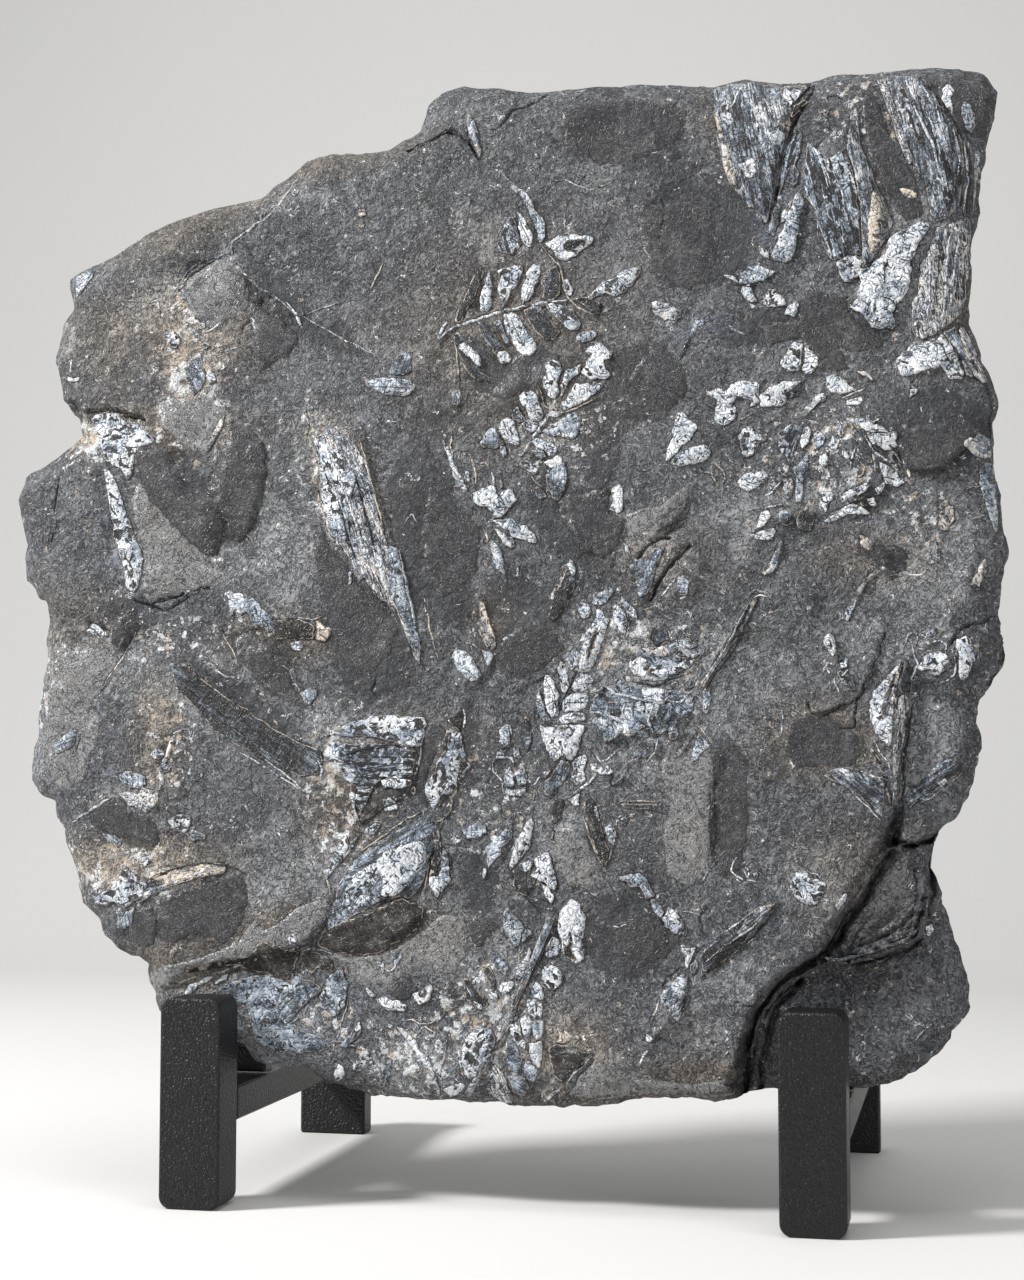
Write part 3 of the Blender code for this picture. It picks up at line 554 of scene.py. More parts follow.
DARK = [
    (185, 490, 60, 25, 60, 1.0), (238, 490, 54, 26, 95, 1.0), (280, 305, 46, 30, 40, 0.8),
    (430, 540, 110, 40, 78, 0.9), (370, 645, 64, 42, 60, 1.0), (255, 650, 44, 20, 10, 1.0),
    (255, 712, 80, 18, 38, 0.9), (560, 510, 60, 30, 60, 0.9), (520, 625, 50, 50, 0, 0.9),
    (700, 235, 66, 66, 0, 0.8), (640, 385, 46, 46, 0, 0.9), (620, 130, 90, 50, 0, 0.6),
    (825, 318, 76, 20, -5, 1.0), (755, 330, 50, 24, 0, 0.7), (935, 430, 54, 42, 0, 1.1),
    (885, 150, 24, 60, -20, 0.9), (625, 940, 46, 50, 0, 1.0), (728, 815, 24, 76, 0, 0.9),
    (385, 780, 40, 22, 0, 1.0), (375, 930, 54, 20, -20, 1.0), (175, 925, 66, 18, 0, 0.9),
    (600, 440, 24, 60, 0, 0.9), (545, 385, 60, 14, -30, 0.9), (135, 615, 30, 20, 0, 0.9),
    (125, 830, 54, 14, 25, 0.9), (460, 770, 20, 80, 10, 0.7), (820, 745, 50, 30, 0, 0.6),
    (480, 885, 24, 40, 0, 0.7), (870, 500, 30, 20, 0, 0.7), (970, 110, 26, 30, 0, 0.9),
    (340, 340, 50, 30, 30, 0.5), (500, 770, 30, 50, 0, 0.4), (640, 610, 30, 14, -50, 0.7),
    (60, 800, 30, 20, 0, 0.5), (150, 350, 30, 50, 0, 0.4), (440, 400, 30, 50, 0, 0.5),
]
WARM = [
    (190, 330, 70, 60, 0, 0.9), (110, 340, 50, 60, 0, 0.7), (150, 430, 100, 30, 0, 1.0),
    (345, 480, 80, 30, 70, 0.9), (140, 860, 90, 30, 0, 1.0), (240, 930, 90, 16, -15, 0.9),
    (380, 930, 60, 30, -20, 0.9), (700, 1080, 60, 24, 0, 1.0), (570, 1050, 50, 40, 0, 0.9),
    (820, 740, 66, 40, 0, 1.0), (510, 340, 120, 110, 0, 0.7), (420, 740, 60, 30, 0, 0.7),
    (350, 800, 50, 50, 0, 0.7), (870, 220, 24, 60, 0, 0.7), (960, 300, 24, 60, 0, 0.9),
    (600, 1095, 120, 16, 0, 0.8), (870, 560, 60, 30, 0, 0.6), (320, 160, 120, 20, -12, 0.8),
    (200, 220, 110, 24, -28, 0.8), (280, 640, 60, 26, 0, 0.9), (745, 110, 50, 50, 0, 0.8),
    (180, 965, 60, 30, 0, 0.9), (490, 620, 24, 30, 0, 0.7), (155, 740, 30, 60, 0, 0.8),
    (850, 870, 60, 60, 0, 0.5), (660, 560, 60, 40, 0, 0.5), (80, 620, 60, 40, 0, 0.5),
]
BLUE = [
    (70, 740, 60, 50, 0, 1.0), (270, 1035, 80, 40, 0, 1.0), (780, 190, 26, 70, 10, 1.0),
    (380, 870, 50, 26, -35, 0.9), (470, 1060, 40, 40, 0, 0.8), (640, 720, 90, 40, 0, 0.7),
    (120, 550, 26, 60, -20, 0.8), (880, 790, 50, 24, 20, 1.0), (930, 130, 50, 50, 0, 0.7),
    (330, 410, 50, 30, 0, 0.5), (700, 330, 44, 20, 0, 0.9), (90, 280, 20, 20, 0, 1.0),
    (740, 940, 60, 26, -30, 0.7), (340, 1000, 50, 20, 0, 0.8), (930, 740, 40, 50, 0, 0.5),
]
FLECK = [
    (190, 370, 34, 90, 0, 1.0), (110, 440, 60, 30, 0, 1.0), (120, 870, 70, 40, 0, 0.9),
    (60, 700, 40, 60, 0, 0.7), (330, 765, 40, 50, 0, 0.8), (340, 830, 30, 40, 0, 0.7),
    (300, 1020, 80, 30, 0, 0.6), (410, 1060, 60, 40, 0, 0.8), (560, 430, 60, 60, 0, 0.4),
    (830, 460, 90, 60, 0, 0.6), (640, 660, 80, 60, 0, 0.7), (480, 1020, 60, 70, 0, 0.8),
    (930, 520, 50, 40, 0, 0.5), (950, 650, 40, 20, 0, 0.6), (170, 740, 30, 60, 0, 0.7),
    (490, 800, 60, 60, 0, 0.5), (260, 620, 60, 20, 0, 0.4), (870, 110, 60, 40, 0, 0.6),
    (330, 480, 30, 90, -15, 0.6), (170, 640, 60, 30, 0, 0.6),
]


def zone(ovals):
    """How much of a set of soft ovals each point of the rock has, from 0 to 1."""
    total = np.zeros(len(rock_sheet))
    for x, y, half_length, half_width, turn, strength in ovals:
        away = rock_sheet - (x, y)
        turn = math.radians(turn)
        along = (away[:, 0] * math.cos(turn) + away[:, 1] * math.sin(turn)) / half_length
        across = (away[:, 1] * math.cos(turn) - away[:, 0] * math.sin(turn)) / half_width
        total = np.maximum(total, strength * np.exp(-(along**2 + across**2) ** 1.5))
    return total * (rock_out > -0.012)


carry(rock_mesh, "zones", np.stack([zone(PALE), zone(DARK), zone(WARM)], axis=1))
carry(rock_mesh, "grains", np.stack([zone(BLUE), zone(FLECK), rock_out * 100.0], axis=1))

GREY_DARK = (0.052, 0.052, 0.055)
GREY_PALE = (0.145, 0.144, 0.145)
MATRIX_DARK = (0.036, 0.036, 0.038)
MATRIX_PALE = (0.26, 0.256, 0.25)
WARM_TONE = (0.165, 0.135, 0.105)
BLUE_TONE = (0.16, 0.185, 0.225)
THREAD_TONE = (0.30, 0.295, 0.29)
GROOVE_TONE = (0.014, 0.014, 0.015)
TAN_FLECK = (0.50, 0.41, 0.32)
WHITE_FLECK = (0.78, 0.79, 0.80)
COOL_TINT = (0.97, 1.0, 1.05)
WARM_TINT = (1.10, 1.0, 0.89)


def stone_colour(finish, pale, dark, warm, blue, fleck, flecked=True):
    """The rock's colour, its raggedness and the height of its grain.

    The zones say how pale, dark, warm, blue and flecked it is; `flecked` adds plates and flecks."""
    place = finish.place()
    broad = finish.cloud(place, 0.026, 4.0, 0.65)
    ragged = finish.cloud(place, 0.0065, 3.0, 0.65)
    bends = finish.cloud(place, 0.0044, 1.0, 0.5, 1.8)
    knots = finish.cloud(place.moved((3.1, 1.7, 0.4)), 0.0050, 1.0, 0.5, 2.4)
    breaks = finish.cloud(place.moved((0.8, 2.3, 6.1)), 0.0036, 2.0, 0.5)
    curls = (bends - 0.5).size().rise(0.066, 0.020) * breaks.rise(0.44, 0.54)
    loops = (knots - 0.5).size().rise(0.052, 0.016) * breaks.rise(0.56, 0.46)
    grooves = ((bends - 0.585).size().rise(0.060, 0.015)).most((knots - 0.425).size().rise(0.052, 0.012))
    grain = finish.cloud(place, 0.0014, 1.0, 0.5)
    plate = broad
    if flecked:
        bent = place.moved(finish.trio(broad, ragged, bends).scaled((0.030, 0.018, 0.012)))
        plate = finish.node("SeparateColor", {}, {0: finish.cells(bent, 0.019, "Color")}, 0)
    dark_in = (dark + (ragged - 0.5) * 0.8 + (0.5 - plate) * 0.25).rise(0.36, 0.50)
    pale_in = (pale + (ragged - 0.5) * 1.2 + (broad - 0.5) * 0.5 + (plate - 0.5) * 0.35).rise(0.24, 0.62)
    colour = finish.blend(broad.rise(0.36, 0.60) * 0.5 + plate * 0.5, GREY_DARK, GREY_PALE)
    colour = finish.blend(pale_in * 0.85, colour, MATRIX_PALE)
    colour = finish.blend(dark_in * 0.85, colour, MATRIX_DARK)
    colour = finish.blend(warm * (ragged.rise(0.40, 0.75) * 0.4), colour, WARM_TONE)
    colour = finish.blend(blue * ragged.rise(0.35, 0.70) * 0.75, colour, BLUE_TONE)
    colour = finish.blend(grooves * (0.72 - dark_in * 0.4), colour, GROOVE_TONE)
    threads = curls.most(loops * 0.85) * (pale_in * 0.30 + 0.50) * (1.0 - dark_in * 0.65)
    colour = finish.blend(threads, colour, THREAD_TONE)
    colour = colour.scaled(grain * 0.7 + 0.65)
    tint = finish.blend((warm * 0.9 + broad * 0.5 - 0.2).rise(0.0, 0.9), COOL_TINT, WARM_TINT)
    colour = colour.scaled(tint)
    height = ragged * 6.0 + (bends - 0.5).size().rise(0.066, 0.020) * 0.9 - grooves + grain * 0.6
    if not flecked:
        return colour, ragged, height
    bent = place.moved(finish.trio(grain, knots, bends).scaled((0.004, 0.006, 0.006)))
    distance = finish.cells(bent, 0.0040)
    picked = Flow(finish, distance.socket.node.outputs["Color"])
    chance = finish.node("SeparateColor", {}, {0: picked}, 0)
    reach = finish.node("SeparateColor", {}, {0: picked}, 1) * 0.16 + 0.05
    speck = (reach - distance).rise(0.0, 0.05)
    speck = speck * (chance + fleck * 0.45 + pale_in * 0.08).rise(0.84, 0.88)
    patch = (finish.cloud(place.moved((1.0, 5.0, 2.0)), 0.0042, 3.0, 0.66) + fleck * 0.19).rise(0.65, 0.70)
    patch = patch * fleck.rise(0.05, 0.4)
    scratch = (knots - 0.5).size().rise(0.040, 0.020) * (breaks + fleck * 0.08).rise(0.62, 0.66)
    speck_tone = finish.blend((ragged - warm * 0.06).rise(0.52, 0.42), WHITE_FLECK, TAN_FLECK)
    colour = finish.blend(speck.most(patch * 0.8).most(scratch * 0.8), colour, speck_tone)
    return colour, ragged, height


stone = Finish("split shale")
stone_zones = stone.mark("zones")
stone_grains = stone.mark("grains")
stone_tone, ragged, height = stone_colour(
    stone, stone_zones.part("X"), stone_zones.part("Y"), stone_zones.part("Z"),
    stone_grains.part("X"), stone_grains.part("Y")
)
stone.paint("Base Color", stone_tone)
stone.paint("Roughness", 0.60 + ragged * 0.25)
stone.raise_by(height, 0.00050)
rock_mesh.materials.append(stone.material)
rock = bpy.data.objects.new("rock", rock_mesh)
bpy.context.scene.collection.objects.link(rock)
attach(rock, "root")
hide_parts("fossil_slab")

# ----------------------------------------
# Thin skins of bare shale left between the films: smooth dark ones where the stone split cleanly,
# paler rougher ones, and brown lens leaves. Each stands a few tenths of a millimetre proud.

FILM_DEPTH = 0.0012
KINDS = {
    # letter: tone, holes, warmth, stripes, side veins, bare stone (-1 dark to 1 pale)
    "w": (0.98, 0.42, 0.04, 0.15, 0.50, 0.00),
    "b": (0.74, 0.38, 0.00, 0.25, 0.60, 0.00),
    "s": (0.90, 0.54, 0.12, 0.10, 0.30, 0.00),
    "d": (0.19, 0.42, 0.10, 0.70, 0.40, 0.00),
    "c": (0.90, 0.42, 0.06, 0.15, 0.40, 0.00),
    "g": (0.54, 0.42, 0.04, 0.20, 0.50, 0.00),
    "t": (0.80, 0.40, 0.95, 0.30, 0.20, 0.00),
    "a": (0.82, 0.40, 0.50, 0.30, 0.20, 0.00),
    "k": (0.18, 0.30, 0.70, 0.35, 0.10, 0.00),
    "f": (0.84, 0.50, 0.45, 0.80, 0.00, 0.00),
    "m": (0.56, 0.44, 0.28, 0.75, 0.00, 0.00),
    "n": (0.78, 0.60, 0.12, 0.60, 0.00, 0.00),
    "v": (0.62, 0.46, 0.00, 0.20, 0.00, 0.00),
    # "x" is black: dark cracks, holes and lines, and also a painted shadow where it is laid beside a raised
    # edge.
    "x": (0.00, 0.00, 0.00, 0.00, 0.00, 0.00),
    "p": (0.48, 0.30, 0.15, 0.40, 0.00, 0.00),
    "u": (0.14, 0.00, 1.00, 0.15, 0.00, 0.00),
    "o": (0.10, 0.00, 0.00, 0.00, 0.00, -1.00),
    "z": (0.30, 0.00, 0.10, 0.00, 0.00, 1.00),
}


def depth_inside(points, loop):
    """How far each point is inside a closed loop; below zero outside."""
    closed = np.vstack([loop, loop[:1]])
    distance, _ = line_fit(points, closed)
    x, y = points[:, 0], points[:, 1]
    inside = np.zeros(len(points), bool)
    for (x0, y0), (x1, y1) in zip(closed[:-1], closed[1:]):
        if y0 != y1:
            inside ^= ((y0 > y) != (y1 > y)) & (x < (x1 - x0) * (y - y0) / (y1 - y0) + x0)
    return np.where(inside, distance, -distance)


class Pressing:
    """The films and threads of one group, gathered into one thin closed mesh on the rock."""

    def __init__(self):
        self.sheet, self.lift, self.triangles = [], [], []
        self.grain, self.rim, self.kind, self.marks = [], [], [], []
        self.laid = []
        self.count = 0

    def add(self, sheet, lift, triangles, grain, rim, kind, seed):
        """Takes in one film or thread: its places, heights in mm, triangles and what its finish reads."""
        rows = len(sheet)
        self.sheet.append(sheet)
        self.lift.append(lift)
        self.triangles.append(np.asarray(triangles, int) + self.count)
        self.grain.append(np.column_stack([grain, np.full(rows, seed)]))
        self.rim.append(np.column_stack([rim] * 3))
        self.kind.append(np.tile(KINDS[kind][:3], (rows, 1)))
        self.marks.append(np.tile(KINDS[kind][3:], (rows, 1)))
        self.count += rows

    def above(self, points):
        """The number of films that already lie under any of these points."""
        under = (level for loop, level in self.laid if (depth_inside(points, loop) > 0.5).any())
        return max(under, default=0)

    def film(self, loop, kind, turn=0.0):
        """A flat film inside a loop, its grain running `turn` degrees from the sheet's x axis."""
        loop = np.reshape(loop, (-1, 2))
        bare = KINDS[kind][5] != 0.0
        spread = math.sqrt(np.prod(loop.max(0) - loop.min(0)))
        step = min(4.4 if bare else 3.4, max(1.8, spread / 9.0))
        edge = resampled(loop, min(step, 2.2), closed=True)
        seed = (loop[0][0] * 5.7 + loop[0][1] * 2.9) % 89.0
        centre = edge.mean(0)
        ragged = 3.4 if bare else 2.2 * min(1.0, spread / 26.0) + 0.3
        for i, (x, y) in enumerate(edge):
            push = noise.noise(Vector((x / 7.0, y / 7.0, seed)))
            push += 0.6 * noise.noise(Vector((x / 2.6, y / 2.6, seed)))
            away = edge[i] - centre
            edge[i] = edge[i] + away / max(1.0, math.hypot(*away)) * push * ragged
        low, high = edge.min(0), edge.max(0)
        grid = [(x + (row % 2) * step / 2, y) for row, y in enumerate(np.arange(low[1], high[1], step * 0.87))
                for x in np.arange(low[0], high[0], step)]
        grid = np.array(grid)
        grid = grid[depth_inside(grid, edge) > step * 0.75]
        before, after = np.roll(edge, 1, axis=0), np.roll(edge, -1, axis=0)
        run = after - before
        run /= np.maximum(np.hypot(run[:, 0], run[:, 1]), 1e-6)[:, None]
        inner = np.vstack([edge + np.stack([-run[:, 1], run[:, 0]], axis=1) * side for side in (-0.9, 0.9)])
        inner = inner[depth_inside(inner, edge) > 0.7]
        points = [Vector(p) for p in np.vstack([edge, inner, grid])]
        places, _, faces, *_ = geometry.delaunay_2d_cdt(points, [], [list(range(len(edge)))], 1, 1e-4)
        places = np.array(places)
        rim = np.maximum(depth_inside(places, edge), 0.0)
        turn = math.radians(turn)
        along = places[:, 0] * math.cos(turn) + places[:, 1] * math.sin(turn)
        across = places[:, 1] * math.cos(turn) - places[:, 0] * math.sin(turn)
        streak = np.array([noise.noise(Vector((a / 40.0, c / 3.6, seed))) for a, c in zip(along, across)])
        lumps = np.array([noise.noise(Vector((a / 9.0, c / 7.0, seed))) for a, c in zip(along, across)])
        level = self.above(edge)
        self.laid.append((edge, level + 1))
        height = (0.16 if bare else 0.50) + 0.20 * level + KINDS[kind][3] * 0.40 * streak + 0.18 * lumps
        lift = np.where(rim < 0.4, -0.30, np.maximum(height, 0.05 + 0.2 * level))
        triangles = []
        for a, b, c in faces:
            turned = np.cross(places[b] - places[a], places[c] - places[a])
            triangles.append((a, b, c) if turned < 0 else (a, c, b))
        self.add(places, lift, triangles, np.stack([along, across], axis=1), rim, kind, seed)

    def thread(self, line, width, kind, rise=0.34, jitter=0.7):
        """A thin raised thread, such as a rachis, a vein of mineral or the trace of a crack."""
        middle = resampled(np.reshape(line, (-1, 2)), 2.6)
        rise += 0.34 * self.above(middle)
        seed = (middle[0][0] * 3.3 + middle[0][1] * 6.1) % 83.0
        count = len(middle)
        for i, (x, y) in enumerate(middle):
            middle[i] += [noise.noise(Vector((x / 9.0, y / 9.0, layer))) * jitter * 2 for layer in (1.0, 5.0)]
        run = np.gradient(middle, axis=0)
        run /= np.maximum(np.hypot(run[:, 0], run[:, 1]), 1e-6)[:, None]
        left = np.stack([-run[:, 1], run[:, 0]], axis=1)
        sheet, lift, grain, rim = [], [], [], []
        for i in range(count):
            share = i / (count - 1)
            taper = min(1.0, 0.25 + 3.0 * min(share, 1.0 - share))
            half = width / 2 * taper * (1.0 + 0.45 * noise.noise(Vector((i * 0.45, seed, 2.0))))
            for s, h in ((-1.0, -0.30), (-0.6, 0.7), (0.0, 1.0), (0.6, 0.7), (1.0, -0.30)):
                sheet.append(middle[i] + left[i] * half * s)
                lift.append(h if h < 0 else h * rise + 0.02 * width)
                grain.append((i * 3.0, s * half))
                rim.append(1.3 + 3.0 * (1.0 - abs(s)))
        triangles = []
        for i in range(count - 1):
            for j in range(4):
                a, b = i * 5 + j, i * 5 + j + 1
                triangles += [(a, b, a + 5), (b, b + 5, a + 5)]
        self.add(np.array(sheet), np.array(lift), triangles, np.array(grain), np.array(rim), kind, seed)

    def lay(self, name):
        """Presses the group onto the rock as one piece."""
        sheet, lift = np.vstack(self.sheet), np.concatenate(self.lift)
        triangles = np.vstack(self.triangles)
        top = np.zeros((len(sheet), 3))
        last = None
        for i, (x, y) in enumerate(sheet):
            hit, _, _, _ = rock_tree.ray_cast(EYE, sheet_sight(x, y))
            last = hit if hit is not None else last
            top[i] = last
        top += np.array(FACE_OUT) * (lift * MM)[:, None]
        under = top - np.array(FACE_OUT) * FILM_DEPTH
        sides = {}
        for a, b, c in triangles:
            for pair in ((a, b), (b, c), (c, a)):
                if pair[::-1] in sides:
                    del sides[pair[::-1]]
                else:
                    sides[pair] = True
        rows = len(sheet)
        walls = []
        for a, b in sides:
            walls += [(b, a, a + rows), (b, a + rows, b + rows)]
        faces = np.vstack([triangles, triangles[:, ::-1] + rows, np.array(walls)])
        mesh = bpy.data.meshes.new(name)
        mesh.from_pydata(np.vstack([top, under]).tolist(), [], faces.tolist())
        for mark in ("grain", "rim", "kind", "marks"):
            carry(mesh, mark, np.vstack(getattr(self, mark) * 2))
        mesh.shade_smooth()
        mesh.materials.append(film.material)
        made = bpy.data.objects.new(name, mesh)
        bpy.context.scene.collection.objects.link(made)
        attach(made, "root")


def press(name, films=(), threads=()):
    """Lays one group: films by kind, turn and loop, then threads by kind, width and line."""
    group = Pressing()
    for kind, turn, loop in films:
        group.film(loop, kind, turn)
    for kind, width, line in threads:
        group.thread(line, width, kind)
    group.lay(name)


RUST_STAIN = (1.0, 0.83, 0.66)
PIT_BLACK = (0.020, 0.020, 0.022)
# Colours of the pale rim line inside each film's edge, which is partly the mineral's own rim and partly a
# painted highlight.
RIM_WHITE = (0.60, 0.58, 0.56)
RIM_TAN = (0.46, 0.37, 0.28)
# Painted shadow: the near-black colour of each film's outermost ring, standing for the shadow the raised film
# casts at its edge.
RIM_PAINTED_SHADOW = (0.016, 0.016, 0.017)

film = Finish("mineral film")
film_place = film.place()
grain, rim = film.mark("grain"), film.mark("rim", "X")
kind, marks = film.mark("kind"), film.mark("marks")
tone, holes, warm = kind.part("X"), kind.part("Y"), kind.part("Z")
stripes, veins, bare = marks.part("X"), marks.part("Y"), marks.part("Z")
under_tone, _, _ = stone_colour(
    film, bare.most(0.0) * 0.55 + 0.22, (0.0 - bare).most(0.0) * 0.85 + 0.05, 0.2 + warm * 0.5,
    bare.most(0.0) * 0.1, 0.2, False
)
mottle = film.cloud(film_place, 0.0016, 3.0, 0.6)
blots = film.cloud(grain.scaled((0.12, 0.16, 7.0)), 1.0, 1.6, 0.5, 0.7)
# Painted sheen: broad swathes along each film's grain that make its colour lighter and darker, from blue-grey
# to white, for the film's metallic sheen; the same swathes also vary where the rust stain lies.
painted_sheen_and_stain = film.cloud(grain.scaled((0.035, 0.055, 5.0)), 1.0, 1.0)
streaks = film.cloud(grain.scaled((0.030, 0.34, 3.0)), 1.0, 3.0, 0.6)
bends = film.cloud(film_place.moved((0.7, 0.2, 0.9)), 0.0040, 1.0, 0.5, 1.8)
curls = (bends - 0.55).size().rise(0.060, 0.010)
scores = (bends - 0.43).size().rise(0.045, 0.020)
lines = (streaks - 0.46).size().rise(0.045, 0.008)
side_veins = (grain.part("X") * 1.15 - 45.0).wave().rise(0.75, 1.0)
# The film's lightness; its sheen term is a painted sheen.
lightness = (
    tone + (mottle - 0.5) * 0.2 + (streaks - 0.5) * stripes * 2.2 + (blots - 0.5) * 0.45
    + (painted_sheen_and_stain - 0.52) * 1.3 - side_veins * veins * 0.30 + curls * 0.15
    - scores * tone * 0.50 - lines * stripes * 0.45
)
film_tone = film.node("ValToRGB", {}, {0: lightness})
stops = film_tone.socket.node.color_ramp.elements
stops[0].color = (0.018, 0.018, 0.020, 1.0)
stops[1].position = 0.95
stops[1].color = (0.84, 0.86, 0.88, 1.0)
for position, colour in (
    (0.28, (0.050, 0.051, 0.055)), (0.48, (0.135, 0.165, 0.205)), (0.68, (0.36, 0.42, 0.50)),
):
    stops.new(position).color = (*colour, 1.0)
stained = film_tone.scaled(RUST_STAIN)
film_tone = film.blend((warm + (painted_sheen_and_stain - 0.5) * 0.8).rise(0.1, 1.0), film_tone, stained)
missing = (
    (blots - 0.5) * (1.5 - stripes * 1.1) + (mottle - 0.5) * 0.15 + (streaks - 0.5) * stripes * 2.0 + holes
).rise(0.60, 0.64)
pit_tone = film.blend(
    mottle.rise(0.45, 0.60) * (1.0 - holes.rise(0.57, 0.60)) * 0.7, PIT_BLACK, under_tone
)
film_tone = film.blend(missing, film_tone, pit_tone)
film_tone = film.blend(bare.size(), film_tone, under_tone)
# A pale tan and white line just inside each film's edge, broken by noise and strongest on dark films: partly
# the mineral's own rim, partly a painted highlight where the raised edge catches the light.
pale_rim_and_painted_highlight = rim.rise(0.6, 0.9) * rim.rise(2.0, 1.4) * (blots * 0.6 + mottle * 0.4).rise(0.44, 0.56)
pale_rim_and_painted_highlight = pale_rim_and_painted_highlight * (1.15 - tone * 0.7) * (1.0 - bare.size())
film_tone = film.blend(pale_rim_and_painted_highlight, film_tone, film.blend(mottle.rise(0.4, 0.55), RIM_WHITE, RIM_TAN))
# Painted shadow: each film's outermost ring is darkened to near black, more weakly on bare films, for the
# shadow at its raised edge.
film_tone = film.blend(rim.rise(1.0, 0.4) * (1.0 - bare.size() * 0.6), film_tone, RIM_PAINTED_SHADOW)
film.paint("Base Color", film_tone)
film.paint("Roughness", 0.34 + missing * 0.35 + (mottle - 0.5) * 0.2)
film_height = (
    (streaks * stripes - missing * 0.7) * 1.3 + (bends - 0.5).size() * (1.0 - bare.size()) * 3.6
    + mottle * 0.5 + curls * 0.6 - scores * 0.8 - side_veins * veins * 0.5
)
film.raise_by(film_height, 0.00060)
press("bedding_patches", films=(
    ("z", 0, (180,285,195,272,225,255,235,256,250,290,250,310,210,330,200,325,182,300)),
    ("z", 0, (160,405,172,397,190,400,205,398,220,405,228,412,215,440,205,455,190,450,165,430,157,418)),
    ("z", -15, (155,1000,150,972,165,965,185,962,225,948,240,938,258,915,262,930,275,925,300,905,320,900,
        330,905,325,918,302,942,262,955,215,962,195,968,180,975)),
    ("z", 0, (662,742,690,738,712,745,714,780,710,830,712,870,690,888,668,875,662,840,670,800,660,770)),
    ("z", 30, (625,515,640,508,660,505,690,482,688,500,640,535,635,550,628,535)),
    ("z", 0, (150,470,175,500,190,530,222,575,208,587,150,603,140,590,147,565,130,500,140,478)),
    ("z", 0, (838,950,872,890,885,862,895,848,912,842,905,880,892,905,862,938,845,950)),
    ("z", 0, (560,1060,580,1068,600,1062,640,1078,690,1084,735,1078,738,1096,700,1098,650,1094,600,1100,
        570,1096)), ("z", 0, (555,830,570,822,585,836,596,858,600,880,585,890,568,884,556,866)),
    ("z", 0, (60,655,90,648,115,650,125,665,95,700,100,730,85,780,60,790,46,770,40,740)),
    ("z", -20, (330,930,360,956,395,948,425,930,440,915,465,915,470,945,455,975,420,968,390,985,360,985,
        345,965,330,955)),
    ("o", 58, (135,447,150,444,168,450,190,493,225,500,226,520,218,553,205,557,170,525,145,495,138,478)),
    ("o", 90, (232,430,250,432,262,440,267,455,262,500,255,520,245,538,238,542,208,490,220,452)),
    ("o", 60, (248,300,262,305,300,335,292,352,262,372,250,330)),
    ("o", 0, (320,520,330,545,345,560,360,585,390,608,400,625,392,650,375,672,350,668,335,640,325,610,
        312,548)),
    ("o", 30, (235,640,250,628,262,640,275,642,290,665,296,690,316,710,300,708,270,695,255,680,236,655)),
    ("o", 60, (100,800,112,795,122,800,135,812,150,815,158,828,160,845,150,848,135,840,120,838,95,828,
        90,815)),
    ("o", -8, (160,900,235,872,245,880,250,895,245,915,235,935,222,945,210,938,190,935,175,942,160,938,
        157,920)), ("o", 70, (128,920,140,908,152,905,156,920,156,940,148,950,138,945,130,935)),
    ("o", 100, (430,720,447,726,444,740,432,762,428,775,425,790,430,808,424,806,414,785,423,740)),
    ("o", 0, (466,919,480,913,499,927,478,950,469,935)),
    ("o", 110, (895,440,915,425,940,422,965,428,975,440,945,468,925,473,905,465)),
    ("o", 95, (925,76,940,70,960,68,985,75,993,85,998,100,985,138,975,140,962,130,950,115,945,100)),
    ("o", 70, (868,88,876,96,892,140,902,160,915,172,925,215,905,222,895,210,872,160,864,130,862,105)),
    ("o", 0, (640,200,662,205,690,200,712,215,720,245,712,275,690,290,668,288,650,270,640,240)),
    ("o", 20, (795,300,820,292,845,296,850,312,862,325,890,335,880,350,850,352,820,340,800,325)),
    ("o", 0, (660,340,680,362,690,390,672,410,655,412,628,380,640,360)),
    ("o", 50, (500,640,520,625,540,620,556,632,565,650,545,668,520,680,500,668)),
    ("o", 40, (555,500,580,492,610,488,610,512,628,520,620,545,600,560,580,545,560,520)),
    ("o", 80, (430,480,445,500,470,512,480,530,478,570,460,590,440,600,425,570,422,530)),
    ("o", 90, (716,745,735,742,748,760,748,820,740,870,720,880,714,850)),
    ("o", 0, (610,925,640,915,668,922,680,940,665,958,640,968,620,955)),
    ("o", 0, (790,720,815,712,835,718,856,732,862,755,850,768,820,765,795,770,785,745)),
    ("o", 0, (470,335,500,352,540,345,560,355,560,375,505,400,480,395,462,370)),
    ("o", 0, (560,110,600,95,650,100,690,110,680,140,640,160,600,165,565,150)),
    ("o", 70, (760,325,800,320,840,345,850,370,820,372,800,338,770,345)),
    ("o", 60, (860,540,900,545,908,555,905,572,890,580,862,555)),
    ("o", 40, (176,668,200,680,250,722,262,735,240,738,215,722,180,690)),
    ("u", -20, (317,940,322,932,335,924,370,912,402,897,426,908,420,926,412,935,383,952,370,956,352,957,
        325,950,319,946)), ("u", 0, (275,622,282,619,300,619,312,622,316,630,314,640,276,640,273,632)),
    ("u", 0, (300,953,312,951,322,953,332,960,335,968,325,970,318,968,312,975,305,968)),
    ("o", 0, (388,985,400,978,410,978,418,988,410,998,400,1000,386,992)),
    ("o", 55, (111,635,116,622,124,612,133,605,138,608,136,622,140,630,126,650,118,652,111,643)),
    # Painted shadow: a black film along the foot of the pale tan ridge, where the ridge's shadow falls.
    ("x", -5, (185,970,205,964,280,952,300,945,300,949,280,957,258,962,190,973)),
    ("u", 60, (262,940,300,952,292,985,268,975,240,968)),
))

# ----------------------------------------
# The first frond, near the top: pressed leaflets on both sides of a white rachis, with a crown of
# leaflets above it.

